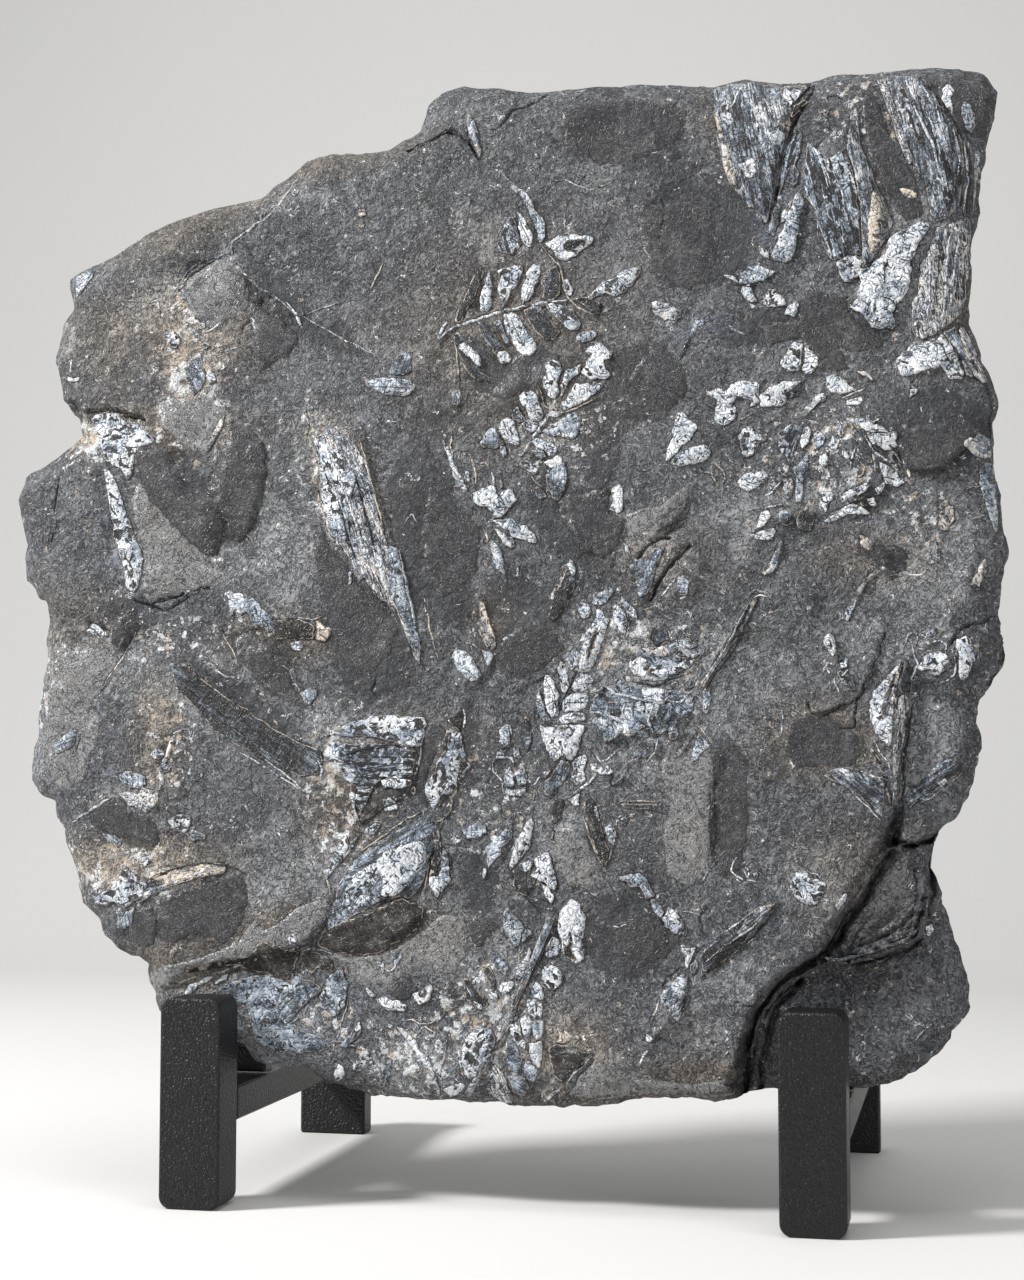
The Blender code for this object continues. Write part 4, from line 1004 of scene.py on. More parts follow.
press("frond_top", films=(
    ("b", 60, (509,188,515,185,521,187,528,194,537,213,542,217,545,225,544,235,539,238,523,200)),
    ("n", 70, (512,212,517,222,522,246,514,254,505,255,497,250,503,228)),
    ("w", 60, (516,210,521,213,532,231,535,241,531,247,525,246,520,236)),
    ("b", 80, (537,218,543,215,546,224,546,236,541,246,537,240)),
    ("w", -10, (544,243,560,235,594,236,592,244,570,261,560,262)),
    ("d", -10, (561,245,566,240,585,238,586,243,571,253,563,251)),
    ("d", -65, (454,322,456,312,475,272,482,265,485,272,477,296,460,326)),
    ("w", 85, (480,312,479,300,489,269,493,280,493,305,490,312)),
    ("s", -60, (498,270,513,264,521,265,524,270,515,290,502,303,498,296)),
    ("c", -70, (521,300,520,288,528,268,534,263,541,264,542,272,533,296,527,303)),
    ("d", 85, (541,300,543,276,549,268,556,265,561,272,560,296,554,302)),
    ("w", 80, (563,278,570,280,574,289,572,296,566,296,562,287)),
    ("d", 50, (455,331,461,334,473,350,480,362,481,372,490,377,490,383,481,384,471,378,457,352,454,340)),
    ("w", 45, (459,345,465,342,474,349,481,358,482,370,461,352)),
    ("d", 50, (475,322,484,319,492,328,511,356,508,361,502,361,495,355,481,336)),
    ("w", 40, (497,352,506,351,513,357,510,364,502,364,497,358)),
    ("g", 60, (492,322,500,319,511,342,508,348)),
    ("w", 55, (503,314,512,311,520,317,538,347,535,354,526,358,517,352,506,330)),
    ("d", 40, (523,310,531,306,540,306,561,332,557,339,548,341,539,336,525,318)),
    ("s", 35, (544,306,552,302,571,307,578,315,581,324,578,332,571,332)),
    ("s", -30, (584,299,604,282,628,268,640,266,642,273,627,292,616,298,605,294,594,299)),
    ("d", 10, (572,300,582,297,592,298,601,303,602,312,597,316)),
    ("g", 0, (576,335,584,330,594,329,598,334,592,341,582,344,576,341)),
), threads=(
    ("w", 3.4, (437,341,447,331,460,325,500,312,545,302,568,300)), ("w", 3, (437,342,441,332,447,322)),
    ("t", 2, (542,247,560,266,567,296,578,308,593,315,600,313)), ("t", 1.8, (454,330,459,375,458,390)),
    ("w", 1.8, (500,312,506,300,514,285,520,272)), ("w", 1.6, (521,308,524,298,530,284,536,270)),
    ("x", 1.4, (510,318,518,334,527,350)), ("x", 1.4, (516,214,524,230,530,243)),
    ("x", 1.3, (530,312,542,324,553,336)),
))

# ----------------------------------------
# The second frond, under the first one: its leaflets stand on a thin rachis that runs down to the
# left, and are broken into flakes of white and bluish film.

press("frond_second", films=(
    ("w", 60, (583,351,598,341,606,346,612,352,612,360,605,360,606,368,612,375,605,381,598,378,592,382,
        580,374,590,356)),
    ("s", 60, (545,362,552,358,560,362,562,372,558,380,560,392,556,399,549,397,543,388,541,380,546,374)),
    ("s", 60, (565,372,583,362,580,374,570,380,564,396,560,400,560,386)),
    ("w", -10, (565,400,575,383,586,383,592,386,600,382,604,386,595,395,573,409,562,411,558,406)),
    ("w", 60, (520,396,524,391,531,389,537,393,544,410,543,418,538,424,530,420,521,403)),
    ("s", 30, (527,418,540,424,536,432,530,434,520,424)),
    ("w", 70, (501,419,508,416,514,420,521,440,518,448,512,446,498,432)),
    ("g", 0, (497,428,492,427,484,434,480,442,482,450,500,448,506,444,500,437)),
    ("g", 0, (500,446,506,446,508,455,503,459,499,452)),
    ("g", 0, (511,412,518,406,526,420,520,424,513,420)),
    ("w", 0, (548,417,551,410,556,410,563,415,557,418)),
    ("b", -20, (541,431,550,424,566,418,567,413,575,413,582,418,580,433,574,439,546,436)),
    ("w", 0, (561,433,574,432,577,436,572,439,562,438)),
    ("w", 20, (530,442,536,438,545,440,553,444,558,450,556,455,548,457,545,450,538,449)),
    ("b", 0, (529,450,538,449,545,452,548,458,540,461)),
    ("w", 0, (541,463,558,454,563,458,564,464,558,468,551,468)),
    ("s", 30, (517,466,521,459,528,461,540,470,536,475)),
    ("d", 0, (535,487,541,484,548,498,540,500,534,495)),
    ("g", 0, (545,475,555,466,566,462,568,475,565,490,560,500,553,501,548,492)),
), threads=(
    ("w", 3, (553,408,520,458)), ("t", 2, (522,470,530,474,536,481,543,488)),
    ("t", 2, (538,386,546,406,552,411,562,413,575,409,600,396)), ("x", 1.4, (503,421,509,436)),
))

# ----------------------------------------
# A tuft of curled and bladed leaflets at mid height on the left, each rolled in on itself before it
# was buried.

press("frond_curled", films=(
    ("w", 60, (449,467,456,472,461,482,471,492,462,490,456,484)),
    ("s", 0, (464,470,470,472,471,482,467,482)),
    ("w", 10, (472,493,493,484,500,496,498,506,480,508,472,501)),
    ("w", 40, (500,494,504,489,511,489,519,499,502,518,494,519,489,506)),
    ("b", 0, (499,478,503,480,504,488,500,490)),
    ("w", 20, (492,521,512,517,520,526,527,524,538,540,536,545,518,540)),
    ("w", 60, (492,524,509,537,513,536,515,546,512,550,502,544)),
    ("w", 0, (512,549,516,555,516,558,513,553)), ("b", 75, (489,541,495,541,501,548,507,578,494,567)),
    ("g", 0, (517,562,520,568,519,574,516,572)),
    ("w", 80, (611,488,620,483,624,488,623,512,617,515,609,510,612,500)),
    ("g", 0, (452,392,460,388,463,398,458,408,452,404)),
), threads=(
    ("w", 5, (443,440,457,474,468,491)), ("t", 2.4, (452,430,451,445,453,458)),
    ("t", 2.6, (466,449,472,458,475,470,476,484)), ("t", 2.2, (480,464,485,462,489,466)),
    ("w", 3, (491,472,494,479,494,486)), ("t", 2.2, (485,531,489,541)),
))

# ----------------------------------------
# Leaves that lie by themselves between the fronds, each a single flake of white, grey or tan film
# pressed flat into the shale.

press("leaves_single", films=(
    ("t", 70, (480,601,484,602,496,638,497,648,494,651,486,647,476,630)),
    ("b", 60, (450,655,456,650,464,650,472,656,482,674,478,682,470,683,462,676)),
    ("b", 30, (481,649,490,651,494,655,493,662,488,669)),
    ("d", 110, (570,558,576,566,575,580,577,585,568,605,553,623,549,617,549,610)),
    ("s", 110, (566,563,571,561,577,568,575,578,570,575)),
    ("b", 5, (364,382,372,378,385,377,410,380,415,385,412,393,405,398,385,394,367,387)),
    ("g", 20, (388,374,396,356,405,350,413,356,412,372,400,376)),
    ("a", 0, (650,303,660,300,683,312,680,320,665,322,655,315)),
    ("a", 0, (533,153,539,153,540,158,535,160)),
    ("p", 75, (466,112,473,115,478,130,482,150,481,162,467,132)),
    ("t", 0, (358,208,366,210,367,216,360,217)), ("t", 0, (359,222,366,224,364,230,358,228)),
), threads=(
    ("w", 1.6, (455,656,465,668,470,681)), ("x", 1.4, (370,386,385,387,400,388,412,388)),
    ("g", 2, (396,372,403,354)), ("a", 1.6, (551,181,565,180,590,190,614,182)),
    ("a", 1.2, (578,184,585,176,589,178)), ("a", 1.2, (590,190,596,196)),
    ("g", 6, (680,360,688,340,697,325,710,318,745,335)), ("a", 1.6, (383,262,379,272,370,290)),
))

# ----------------------------------------
# The third frond, at the centre: a leaning axis with broken white pinnules on both sides of it,
# every one a flake of mineral by itself.

press("frond_third", films=(
    ("b", 30, (578,605,583,601,589,604,592,612,589,619,583,619,578,613)),
    ("b", 0, (592,597,611,588,614,593,608,602,600,606,593,605)),
    ("w", 115, (595,610,603,609,610,620,595,666,588,672,580,672,577,665,580,652,588,630,596,617)),
    ("d", 110, (595,626,599,628,597,640,588,662,584,666,588,642)),
    ("w", 70, (612,606,618,604,629,620,625,639,614,624)),
    ("b", 40, (621,595,637,610,638,620,633,620,620,604)),
    ("b", 80, (566,658,572,650,580,650,583,656,577,668,571,672)),
    ("w", 70, (556,668,560,660,565,662,570,684,567,694,562,692)),
    ("w", 70, (542,682,545,675,550,674,556,682,560,695,559,716,553,720,547,712,543,700)),
    ("b", 70, (536,695,540,690,547,714,553,721,548,727,541,720,536,708)),
    ("w", -10, (571,688,575,678,584,673,592,674,595,681,591,688,581,692,573,692)),
    ("w", 0, (562,704,566,696,576,692,587,694,590,701,586,709,575,713,565,713)),
    ("w", 0, (556,720,563,714,576,711,585,713,586,720,576,724,564,724)),
    ("w", 120, (538,722,546,728,556,725,584,724,585,732,577,756,570,762,562,758,554,764,548,756)),
    ("d", 0, (556,726,568,726,566,731,558,731)),
    ("s", 80, (572,762,586,752,588,760,584,770,586,778,582,786,574,785,571,775)),
    ("w", 0, (589,763,597,763,603,768,608,764,614,772,607,776,600,775,590,770)),
), threads=(
    ("t", 2, (629,622,628,633,624,640,621,636)), ("x", 2.4, (577,671,556,714)),
    ("w", 3, (571,795,580,789,590,782,598,772)), ("x", 2, (612,773,608,781,613,786,622,783,624,776)),
    ("x", 1.3, (545,678,552,690,556,706)), ("x", 1.3, (555,668,561,680,564,690)),
    ("x", 1.2, (575,681,584,684,592,684)), ("x", 1.2, (566,703,576,702,586,704)),
    ("x", 1.4, (552,742,560,748,566,758)),
))

# ----------------------------------------
# A net of small pinnules, half eaten away, right of the third frond, with a twig that leads up to
# the right.

press("pinnule_net", films=(
    ("v", 0, (600,690,620,680,660,690,680,690,697,700,690,716,670,730,650,738,620,735,600,731,588,716,
        592,700)), ("v", 0, (628,655,645,648,690,640,707,648,700,660,682,668,665,680,645,682,632,672)),
    ("w", 0, (630,660,640,656,648,660,650,670,644,678,634,676,628,668)),
    ("s", 10, (648,666,660,670,676,665,700,650,703,656,690,668,674,676,658,680,648,676)),
    ("a", 0, (640,646,652,650,664,646,676,650,690,648,700,652,690,660,648,656)),
    ("w", 0, (640,688,650,686,668,690,668,700,658,704,646,702,640,696)),
    ("w", 90, (644,703,652,702,659,706,657,716,650,722,645,714)),
    ("w", -50, (683,694,692,697,698,692,692,702,686,706)),
    ("w", 0, (618,722,628,724,636,734,628,738,618,732)),
    ("b", 60, (616,683,622,675,632,690,627,694,620,691)), ("w", 0, (612,681,620,677,616,685)),
    ("p", 0, (664,686,676,681,680,685,672,691,666,690)),
    ("p", -50, (684,686,692,676,698,679,692,688,684,692)),
    ("g", -20, (651,638,656,628,664,624,672,642,664,640,658,648,654,648)),
    ("p", 20, (668,648,676,645,684,652,682,662,674,662,668,656)),
    ("b", 0, (690,650,696,648,699,656,694,660,688,656)), ("p", 0, (672,640,690,638,700,645,690,650)),
    ("d", 0, (607,702,620,700,626,708,620,718,608,716)),
    ("b", 90, (625,706,634,700,636,712,630,722,622,716)),
    ("w", 0, (635,702,642,700,646,708,642,714,636,712)),
    ("b", 60, (646,704,658,702,660,712,652,722,645,716)), ("b", 0, (600,712,618,722,606,728,590,716)),
    ("b", -10, (602,736,612,724,622,728,620,736,610,742,604,743)),
    ("w", 30, (606,714,632,732,626,736,614,728)), ("w", 20, (622,722,640,734,632,735,622,730)),
    ("d", 0, (640,722,650,728,648,736,641,734)),
    ("p", 90, (660,704,672,702,676,712,668,724,658,726,655,716)),
    ("g", 0, (634,746,645,740,655,742,654,752,645,760,634,757)),
    ("p", 0, (668,726,676,724,680,734,676,742,668,740)),
    ("b", -50, (672,756,690,738,694,728,697,732,682,756,674,760)),
    ("b", -60, (690,760,698,730,712,746,692,764)), ("b", 60, (703,690,710,685,712,700,708,715,702,712)),
    ("m", -58, (699,684,744,620,752,600,760,596,741,636,711,676,704,690)),
), threads=(
    ("w", 4, (602,712,612,717,622,722,635,735)), ("w", 2.6, (640,700,642,712,650,722)),
    ("w", 3, (656,700,651,712,648,722,655,735)), ("w", 2.4, (590,713,600,712,608,718)),
    ("w", 2, (625,702,622,712,628,722)), ("w", 3, (668,701,680,703,692,692)),
    ("a", 2, (604,742,615,738,622,730)), ("x", 1.4, (640,730,648,726,656,730)),
    ("w", 3, (595,692,606,686,616,694,660,704,668,700)), ("x", 2.4, (630,680,655,686,683,675)),
    ("t", 2.6, (663,622,668,632,672,642)), ("t", 1.6, (655,627,650,638,656,648,661,652)),
    ("t", 2, (650,736,658,730,665,722)), ("w", 1.4, (668,706,661,720)), ("w", 2, (658,740,655,752,646,763)),
    ("w", 2, (594,752,600,762,608,758,618,750)), ("t", 1.6, (696,722,705,734,714,744)),
    ("w", 1.8, (735,650,745,647)), ("w", 1.8, (700,688,726,648,748,604)),
    ("x", 1.6, (705,692,716,674,730,656,742,638)), ("a", 2, (748,596,755,589,765,592,772,600)),
    ("a", 1.8, (752,600,760,594,768,598)),
))

# ----------------------------------------
# Loose leaves and scraps below the third frond, torn before they were buried and now flakes of
# mineral film.

press("leaves_centre", films=(
    ("b", 90, (500,731,505,723,511,724,513,735,510,745,502,748,498,742)),
    ("g", 90, (521,722,526,715,531,719,532,745,527,753,523,745)),
    ("g", 0, (512,748,519,746,521,756,514,758)),
    ("w", 0, (505,772,511,766,513,774,519,768,524,770,522,774,514,778,516,786,510,788,503,785)),
    ("b", 0, (516,775,526,770,529,776,527,785,518,786)),
    ("b", 0, (505,786,512,790,527,786,527,792,520,797,510,796,505,794)),
    ("w", 0, (542,772,553,768,549,776,544,779)),
    ("p", 110, (545,782,560,760,568,758,571,768,568,778,548,798,543,794)),
    ("b", 0, (461,831,478,820,482,826,487,824,488,832,478,840,472,838,468,840)),
    ("b", 110, (490,843,492,834,498,836,507,827,512,829,513,838,503,848,500,856,488,870,484,848)),
    ("w", 100, (500,834,506,842,500,848,497,842)), ("b", 80, (483,866,487,870,486,878,482,882)),
    ("w", 110, (532,816,534,826,530,850,511,871,508,866,515,842,527,820)),
    ("d", 0, (513,870,528,858,533,864,532,872,535,882,526,898,517,893,512,884)),
    ("b", 0, (522,864,529,858,534,862,530,872,524,872)),
    ("w", 60, (533,858,540,853,548,852,552,858,557,882,556,892,530,876,535,868)),
    ("x", 0, (537,869,541,869,542,875,538,875)), ("b", 80, (549,862,555,870,558,886,553,886,549,876)),
    ("w", 30, (540,882,550,888,555,896,552,905,546,898)),
    ("d", 110, (546,806,553,800,563,799,566,804,558,824,552,824)),
    ("k", 70, (583,800,590,797,598,808,604,836,610,850,609,860,605,868,587,834)),
    ("w", 0, (592,806,597,806,600,816,597,820)), ("b", 90, (604,826,612,824,616,836,614,846,608,842)),
    ("w", 0, (566,800,580,793,580,806,574,806)), ("g", 0, (620,803,658,803,656,811,624,809)),
    ("b", 60, (614,872,620,880,618,884)), ("b", 0, (625,880,635,875,642,880,640,888,630,888)),
    ("b", 45, (613,866,620,876,640,872,648,880,650,888,645,895,640,888,617,880)),
    ("p", 60, (638,885,648,880,656,896,646,900)), ("b", 50, (650,900,656,898,665,912,663,922,652,910)),
    ("w", 50, (662,918,668,905,683,918,686,926,684,932,676,934,668,930,663,926)),
    ("w", 0, (680,945,684,941,686,946,692,948,697,946,687,972,684,965,685,955,680,952)),
    ("p", 80, (690,965,696,958,700,965,695,975,690,975)),
    ("b", 110, (670,985,676,977,684,972,688,978,684,1000,668,1010,662,1005,660,998,664,990)),
    ("n", 110, (668,1008,680,1000,688,990,690,1000,680,1020,672,1025)),
    ("w", 0, (645,1032,655,1038,650,1044,646,1042)),
    ("d", -38, (703,972,700,960,705,945,715,940,725,930,760,905,777,903,735,955,710,972)),
    ("m", -38, (735,935,745,920,760,905,775,903,768,914,742,938)),
    ("w", 0, (752,873,757,870,760,876,754,878)),
    ("s", 0, (790,880,796,872,808,870,820,874,826,885,824,898,815,906,803,905,794,898,790,890)),
), threads=(
    ("x", 2.2, (509,726,511,738)), ("w", 3, (492,763,496,757,511,757,514,765)),
    ("w", 2, (492,763,494,772,502,782,504,792)), ("w", 2, (531,786,536,783,540,777)),
    ("t", 2, (533,800,535,790,538,797)), ("b", 1.6, (519,836,523,845,520,854)),
    ("x", 2, (550,826,555,832,552,840,548,838)), ("t", 2.2, (583,815,588,832,594,848,604,867)),
    ("t", 1.8, (604,867,610,858,616,832,610,820)), ("t", 2, (596,796,604,800,607,806,598,806)),
    ("t", 1.8, (620,802,640,801,660,802)), ("a", 2.4, (660,1000,656,1010,651,1020)),
    ("w", 3, (648,1050,643,1056,640,1065)), ("w", 2.6, (722,934,734,926,746,917)),
    ("w", 2.2, (730,944,740,936,752,928,764,916)), ("w", 2.6, (706,962,714,955,724,947)),
    ("w", 2.2, (745,946,754,938)), ("x", 2, (700,978,745,946,760,930,780,903)),
    ("w", 2, (738,857,733,862,731,870,736,876,744,880,757,882)),
    ("w", 1.8, (745,868,750,872,748,878,744,872)), ("w", 1.8, (702,882,706,874,710,868,715,862)),
    ("a", 1.8, (682,912,692,912,706,918,712,914)), ("a", 2, (613,925,620,927,627,924)),
))

# ----------------------------------------
# The bottom frond: a smooth stem that leans down to the left with thick eaten leaves on both sides,
# now pitted films.

press("frond_bottom", films=(
    ("p", 115, (547,916,557,918,509,1026,471,1098,462,1096,500,1032)),
    ("w", 60, (561,910,570,898,578,901,587,916,583,946,585,958,577,967,561,952,562,940,558,935,556,924)),
    ("x", 60, (570,928,575,946,572,948,578,960,575,963,564,955,562,946,568,943)),
    ("w", 110, (553,934,558,937,562,945,559,955,551,959,545,956,546,946)),
    ("u", 0, (549,945,554,946,553,951,549,951)),
    ("s", 80, (544,966,551,964,559,967,563,975,562,983,558,989,552,992,540,980)),
    ("w", 80, (547,966,559,967,563,975,561,982)),
    ("b", 60, (508,904,512,913,523,922,524,929,519,946,515,948,504,932,502,922,503,913)),
    ("b", 0, (526,928,531,930,534,935,522,943,522,935)),
    ("b", 60, (494,949,506,959,509,967,506,977,492,963,490,956)),
    ("w", 110, (529,946,533,950,526,971,522,979,514,980,518,964,525,959)),
    ("w", 20, (499,983,510,980,517,983,506,996,499,991)),
    ("w", 30, (488,988,493,993,498,993,499,998,491,1002,483,987)),
    ("k", 50, (483,967,490,966,497,983,495,990,490,987)),
    ("d", 60, (462,979,466,977,480,990,489,1004,486,1009,480,1012,474,1007,467,998)),
    ("w", 30, (472,999,483,1004,482,1011,476,1007)),
    ("b", 70, (536,980,542,987,545,996,543,1001,530,998,531,987)),
    ("w", 80, (528,998,536,1001,538,1014,535,1020,528,1014,526,1004)),
    ("b", 80, (538,1001,544,1004,543,1020,536,1015)),
    ("b", 90, (531,1020,543,1019,545,1025,543,1038,536,1041,532,1035)),
    ("c", 90, (520,1019,530,1014,533,1022,531,1035,526,1039,522,1033)),
    ("s", 70, (510,1025,520,1020,523,1036,528,1043,526,1052,509,1036)),
    ("w", 90, (528,1043,543,1041,544,1052,541,1068,538,1068,530,1059)),
    ("g", 80, (507,1039,517,1044,523,1059,522,1071,517,1075,509,1070,504,1060)),
    ("b", 60, (525,1060,530,1060,539,1071,535,1083,531,1084,523,1073)),
    ("f", 60, (493,1063,499,1065,504,1073,514,1096,512,1104,501,1103,486,1088)),
    ("p", 30, (507,1075,523,1075,530,1088,523,1097,514,1092)),
    ("s", 100, (469,1033,478,1027,490,1027,498,1039,494,1049,485,1057,477,1076,469,1080,461,1070,458,1060,
        461,1046)), ("b", 110, (483,1057,494,1051,480,1080,477,1078)),
    ("w", 20, (443,1089,461,1081,466,1084,464,1091,450,1099)),
    ("t", 40, (551,1023,579,1036,594,1050,584,1046,576,1039,563,1045,555,1043,559,1033)),
    ("x", 0, (548,1028,553,1028,554,1033,549,1034)),
    ("k", 0, (549,1044,568,1044,594,1054,563,1084,552,1073,547,1052)),
    ("s", -30, (543,1100,549,1092,559,1088,563,1089,546,1103)),
), threads=(
    ("x", 2, (556,918,543,955,523,993,512,1023)), ("w", 2, (517,1012,510,1023,504,1038)),
    ("x", 2, (513,874,514,884,518,890,541,914)), ("t", 2, (524,946,519,956,520,962)),
    ("w", 2, (467,987,472,998)), ("x", 3, (594,1059,578,1078,567,1094,559,1107)),
    ("w", 2, (592,1057,573,1075,567,1083)), ("w", 2, (446,824,447,822)),
))

# ----------------------------------------
# The ragged cluster right of the middle: twig scraps, seeds and leaf pieces in thick white mineral.
# Where they lie over one another, the upper ones stand higher.

press("cluster_right", films=(
    ("w", 115, (676,412,685,413,698,427,691,441,683,446,669,462,665,460,666,450,670,443)),
    ("w", -25, (669,464,678,453,688,448,706,443,710,448,711,453,708,459,699,464,677,468)),
    ("b", -30, (682,477,690,471,685,481)), ("b", 0, (692,468,697,468,696,473,693,472)),
    ("w", 20, (705,389,708,391,719,387,722,390,727,390,738,380,753,381,758,382,761,386,758,389,760,400,
        758,405,749,410,749,401,738,396,737,401,732,405,737,407,736,419,726,428,714,422,713,409,717,405,
        717,400,706,395)),
    ("w", -20, (761,395,770,387,783,382,803,381,786,395,787,401,783,407,769,407,763,410,760,404)),
    ("b", 0, (790,391,797,390,795,396,790,401)),
    ("s", 0, (738,437,742,430,750,424,755,427,753,431,765,435,769,439,755,449,753,457,747,458,741,454)),
    ("w", -10, (737,482,740,476,747,473,759,471,770,473,767,481,753,490,745,491,738,487)),
    ("s", 110, (779,364,790,345,796,341,803,345,803,364,799,371,791,372,783,369)),
    ("s", 90, (804,346,814,346,815,354,819,358,819,367,814,373,806,375,801,371,804,363)),
    ("n", 110, (776,435,791,422,804,427,790,467,786,458,781,455)),
    ("b", 90, (803,459,808,451,809,468,804,476,804,494,801,504,795,503,795,478,792,469)),
    ("w", -40, (815,394,823,393,827,396,826,401,818,404,803,422)),
    ("w", -50, (803,428,809,426,813,432,809,443,801,453,800,443)),
    ("w", 0, (815,435,822,432,826,437,824,445,817,450,814,443)),
    ("w", 70, (835,416,841,423,845,435,841,439,837,435)),
    ("w", 0, (827,445,832,435,840,440,837,450,831,451)),
    ("w", 0, (819,454,828,450,828,466,822,469,818,463)),
    ("a", 0, (782,489,786,480,792,477,794,487,792,498,786,499,781,496)),
    ("w", 0, (761,507,781,503,785,505,765,510)), ("w", -50, (761,512,769,509,772,517,765,526,751,535)),
    ("w", -50, (747,535,773,527,778,530,773,540,759,540)),
    ("g", 0, (778,512,786,509,792,514,792,525,786,527,778,523)),
    ("p", 30, (801,509,809,507,814,513,815,522,811,531,804,532,796,527,795,519)),
    ("b", 30, (826,377,834,372,858,391,840,397,827,389)),
    ("a", 20, (848,369,866,371,875,380,873,383,868,378)),
    ("w", 0, (846,400,861,396,865,401,860,406,846,406)),
    ("w", 10, (843,418,868,418,874,421,878,417,879,421,875,423,883,426,891,434,866,432)),
    ("w", 0, (866,434,897,431,898,446,892,451,885,452,875,446)),
    ("w", 0, (841,449,848,451,851,458,846,460,841,455)), ("w", 90, (871,452,875,455,877,468,875,477)),
    ("w", 20, (878,461,898,471,900,478,906,481,903,486,894,488,886,483)),
    ("w", -40, (874,488,886,481,883,492,878,497)),
    ("w", -25, (823,521,852,503,868,509,870,515,851,515,829,524)),
    ("x", -20, (858,499,866,495,870,502,868,508,861,506)),
    ("w", 0, (866,498,874,498,878,505,874,509,868,505)), ("s", 0, (818,498,828,495,835,497,825,514)),
    ("w", -30, (838,499,846,492,866,482,872,486,842,504)),
    ("b", -70, (780,540,784,541,777,566,774,572,763,578,761,572,769,568,771,558)),
    ("t", 60, (859,535,868,536,874,543,874,551,868,552,860,545)),
    ("t", 110, (938,518,941,511,949,505,955,506,955,520,948,531,941,531,937,525)),
    ("p", 90, (927,565,934,555,936,540,941,551,941,563)),
    ("a", 40, (872,571,878,574,866,586,860,597,856,590)),
    ("w", 120, (852,605,858,598,855,610,848,622,844,618,845,608)),
    ("b", 0, (909,389,918,388,917,394,908,401)),
    ("a", 110, (968,588,980,563,986,558,988,565,983,575,980,590,976,585)),
    ("a", 20, (963,445,970,436,980,434,990,440,993,455,985,460,975,458)),
    ("b", 75, (985,460,995,465,999,520,996,538,980,490,978,470)),
    ("w", 80, (825,633,830,632,836,640,840,667,822,642)),
    ("w", 0, (838,664,846,657,849,660,848,668,842,670)),
    ("m", 40, (836,672,845,668,852,675,858,692,850,690,842,684)),
    ("g", 0, (920,628,930,624,938,628,936,636,926,638)),
    ("s", 150, (917,668,922,657,930,652,940,650,948,655,951,662,940,677,933,676,930,670,922,672)),
    ("w", 80, (955,640,966,633,972,642,975,655,973,668,968,678,962,682,958,675,959,655,955,648)),
    ("p", 120, (633,555,645,560,655,545,665,548,648,595,640,600,630,565)),
    ("s", 80, (622,540,628,545,633,558,628,560)),
    ("b", 100, (677,576,684,574,690,582,688,596,680,598,676,588)),
), threads=(
    ("t", 2, (697,467,701,471,711,473,719,486)), ("t", 2, (714,460,724,473,725,480,722,484)),
    ("t", 1.8, (738,421,745,417,753,413,760,410)), ("x", 1.8, (743,478,751,484,769,478)),
    ("x", 1.6, (806,419,812,409,820,402,829,397)), ("w", 2, (765,496,773,491,781,481)),
    ("t", 2, (747,511,753,508,761,508)), ("a", 1.8, (840,400,852,393,866,388)),
    ("w", 3, (865,437,874,451,886,460,898,467)), ("x", 2, (851,423,881,457,897,466)),
    ("w", 2.4, (892,452,905,466)), ("w", 2.4, (855,448,852,458,851,466)),
    ("t", 2, (858,460,865,466,863,474,855,478,852,472)), ("t", 4, (908,469,910,478)),
    ("w", 3, (868,480,866,489,858,495)), ("a", 2.2, (903,571,909,575,920,575,928,568)),
    ("t", 2, (963,489,975,487,985,486,993,481)), ("w", 2, (834,678,835,685,840,693)),
    ("w", 2.4, (841,678,848,670)), ("a", 2, (918,632,924,637,932,639,940,634)),
    ("w", 2.4, (912,645,918,665,911,680,911,692)), ("a", 2, (905,645,908,636,916,630,918,640,915,648)),
    ("w", 2, (920,645,940,640,946,646,946,654)), ("w", 2, (954,655,956,665,954,675,948,680,940,682)),
    ("w", 2, (660,600,668,588,675,578)), ("w", 2, (782,710,783,722,781,735)),
))

# ----------------------------------------
# The broad striped bands and stems that come down from the top right edge, and the leaf and stems
# beside them.

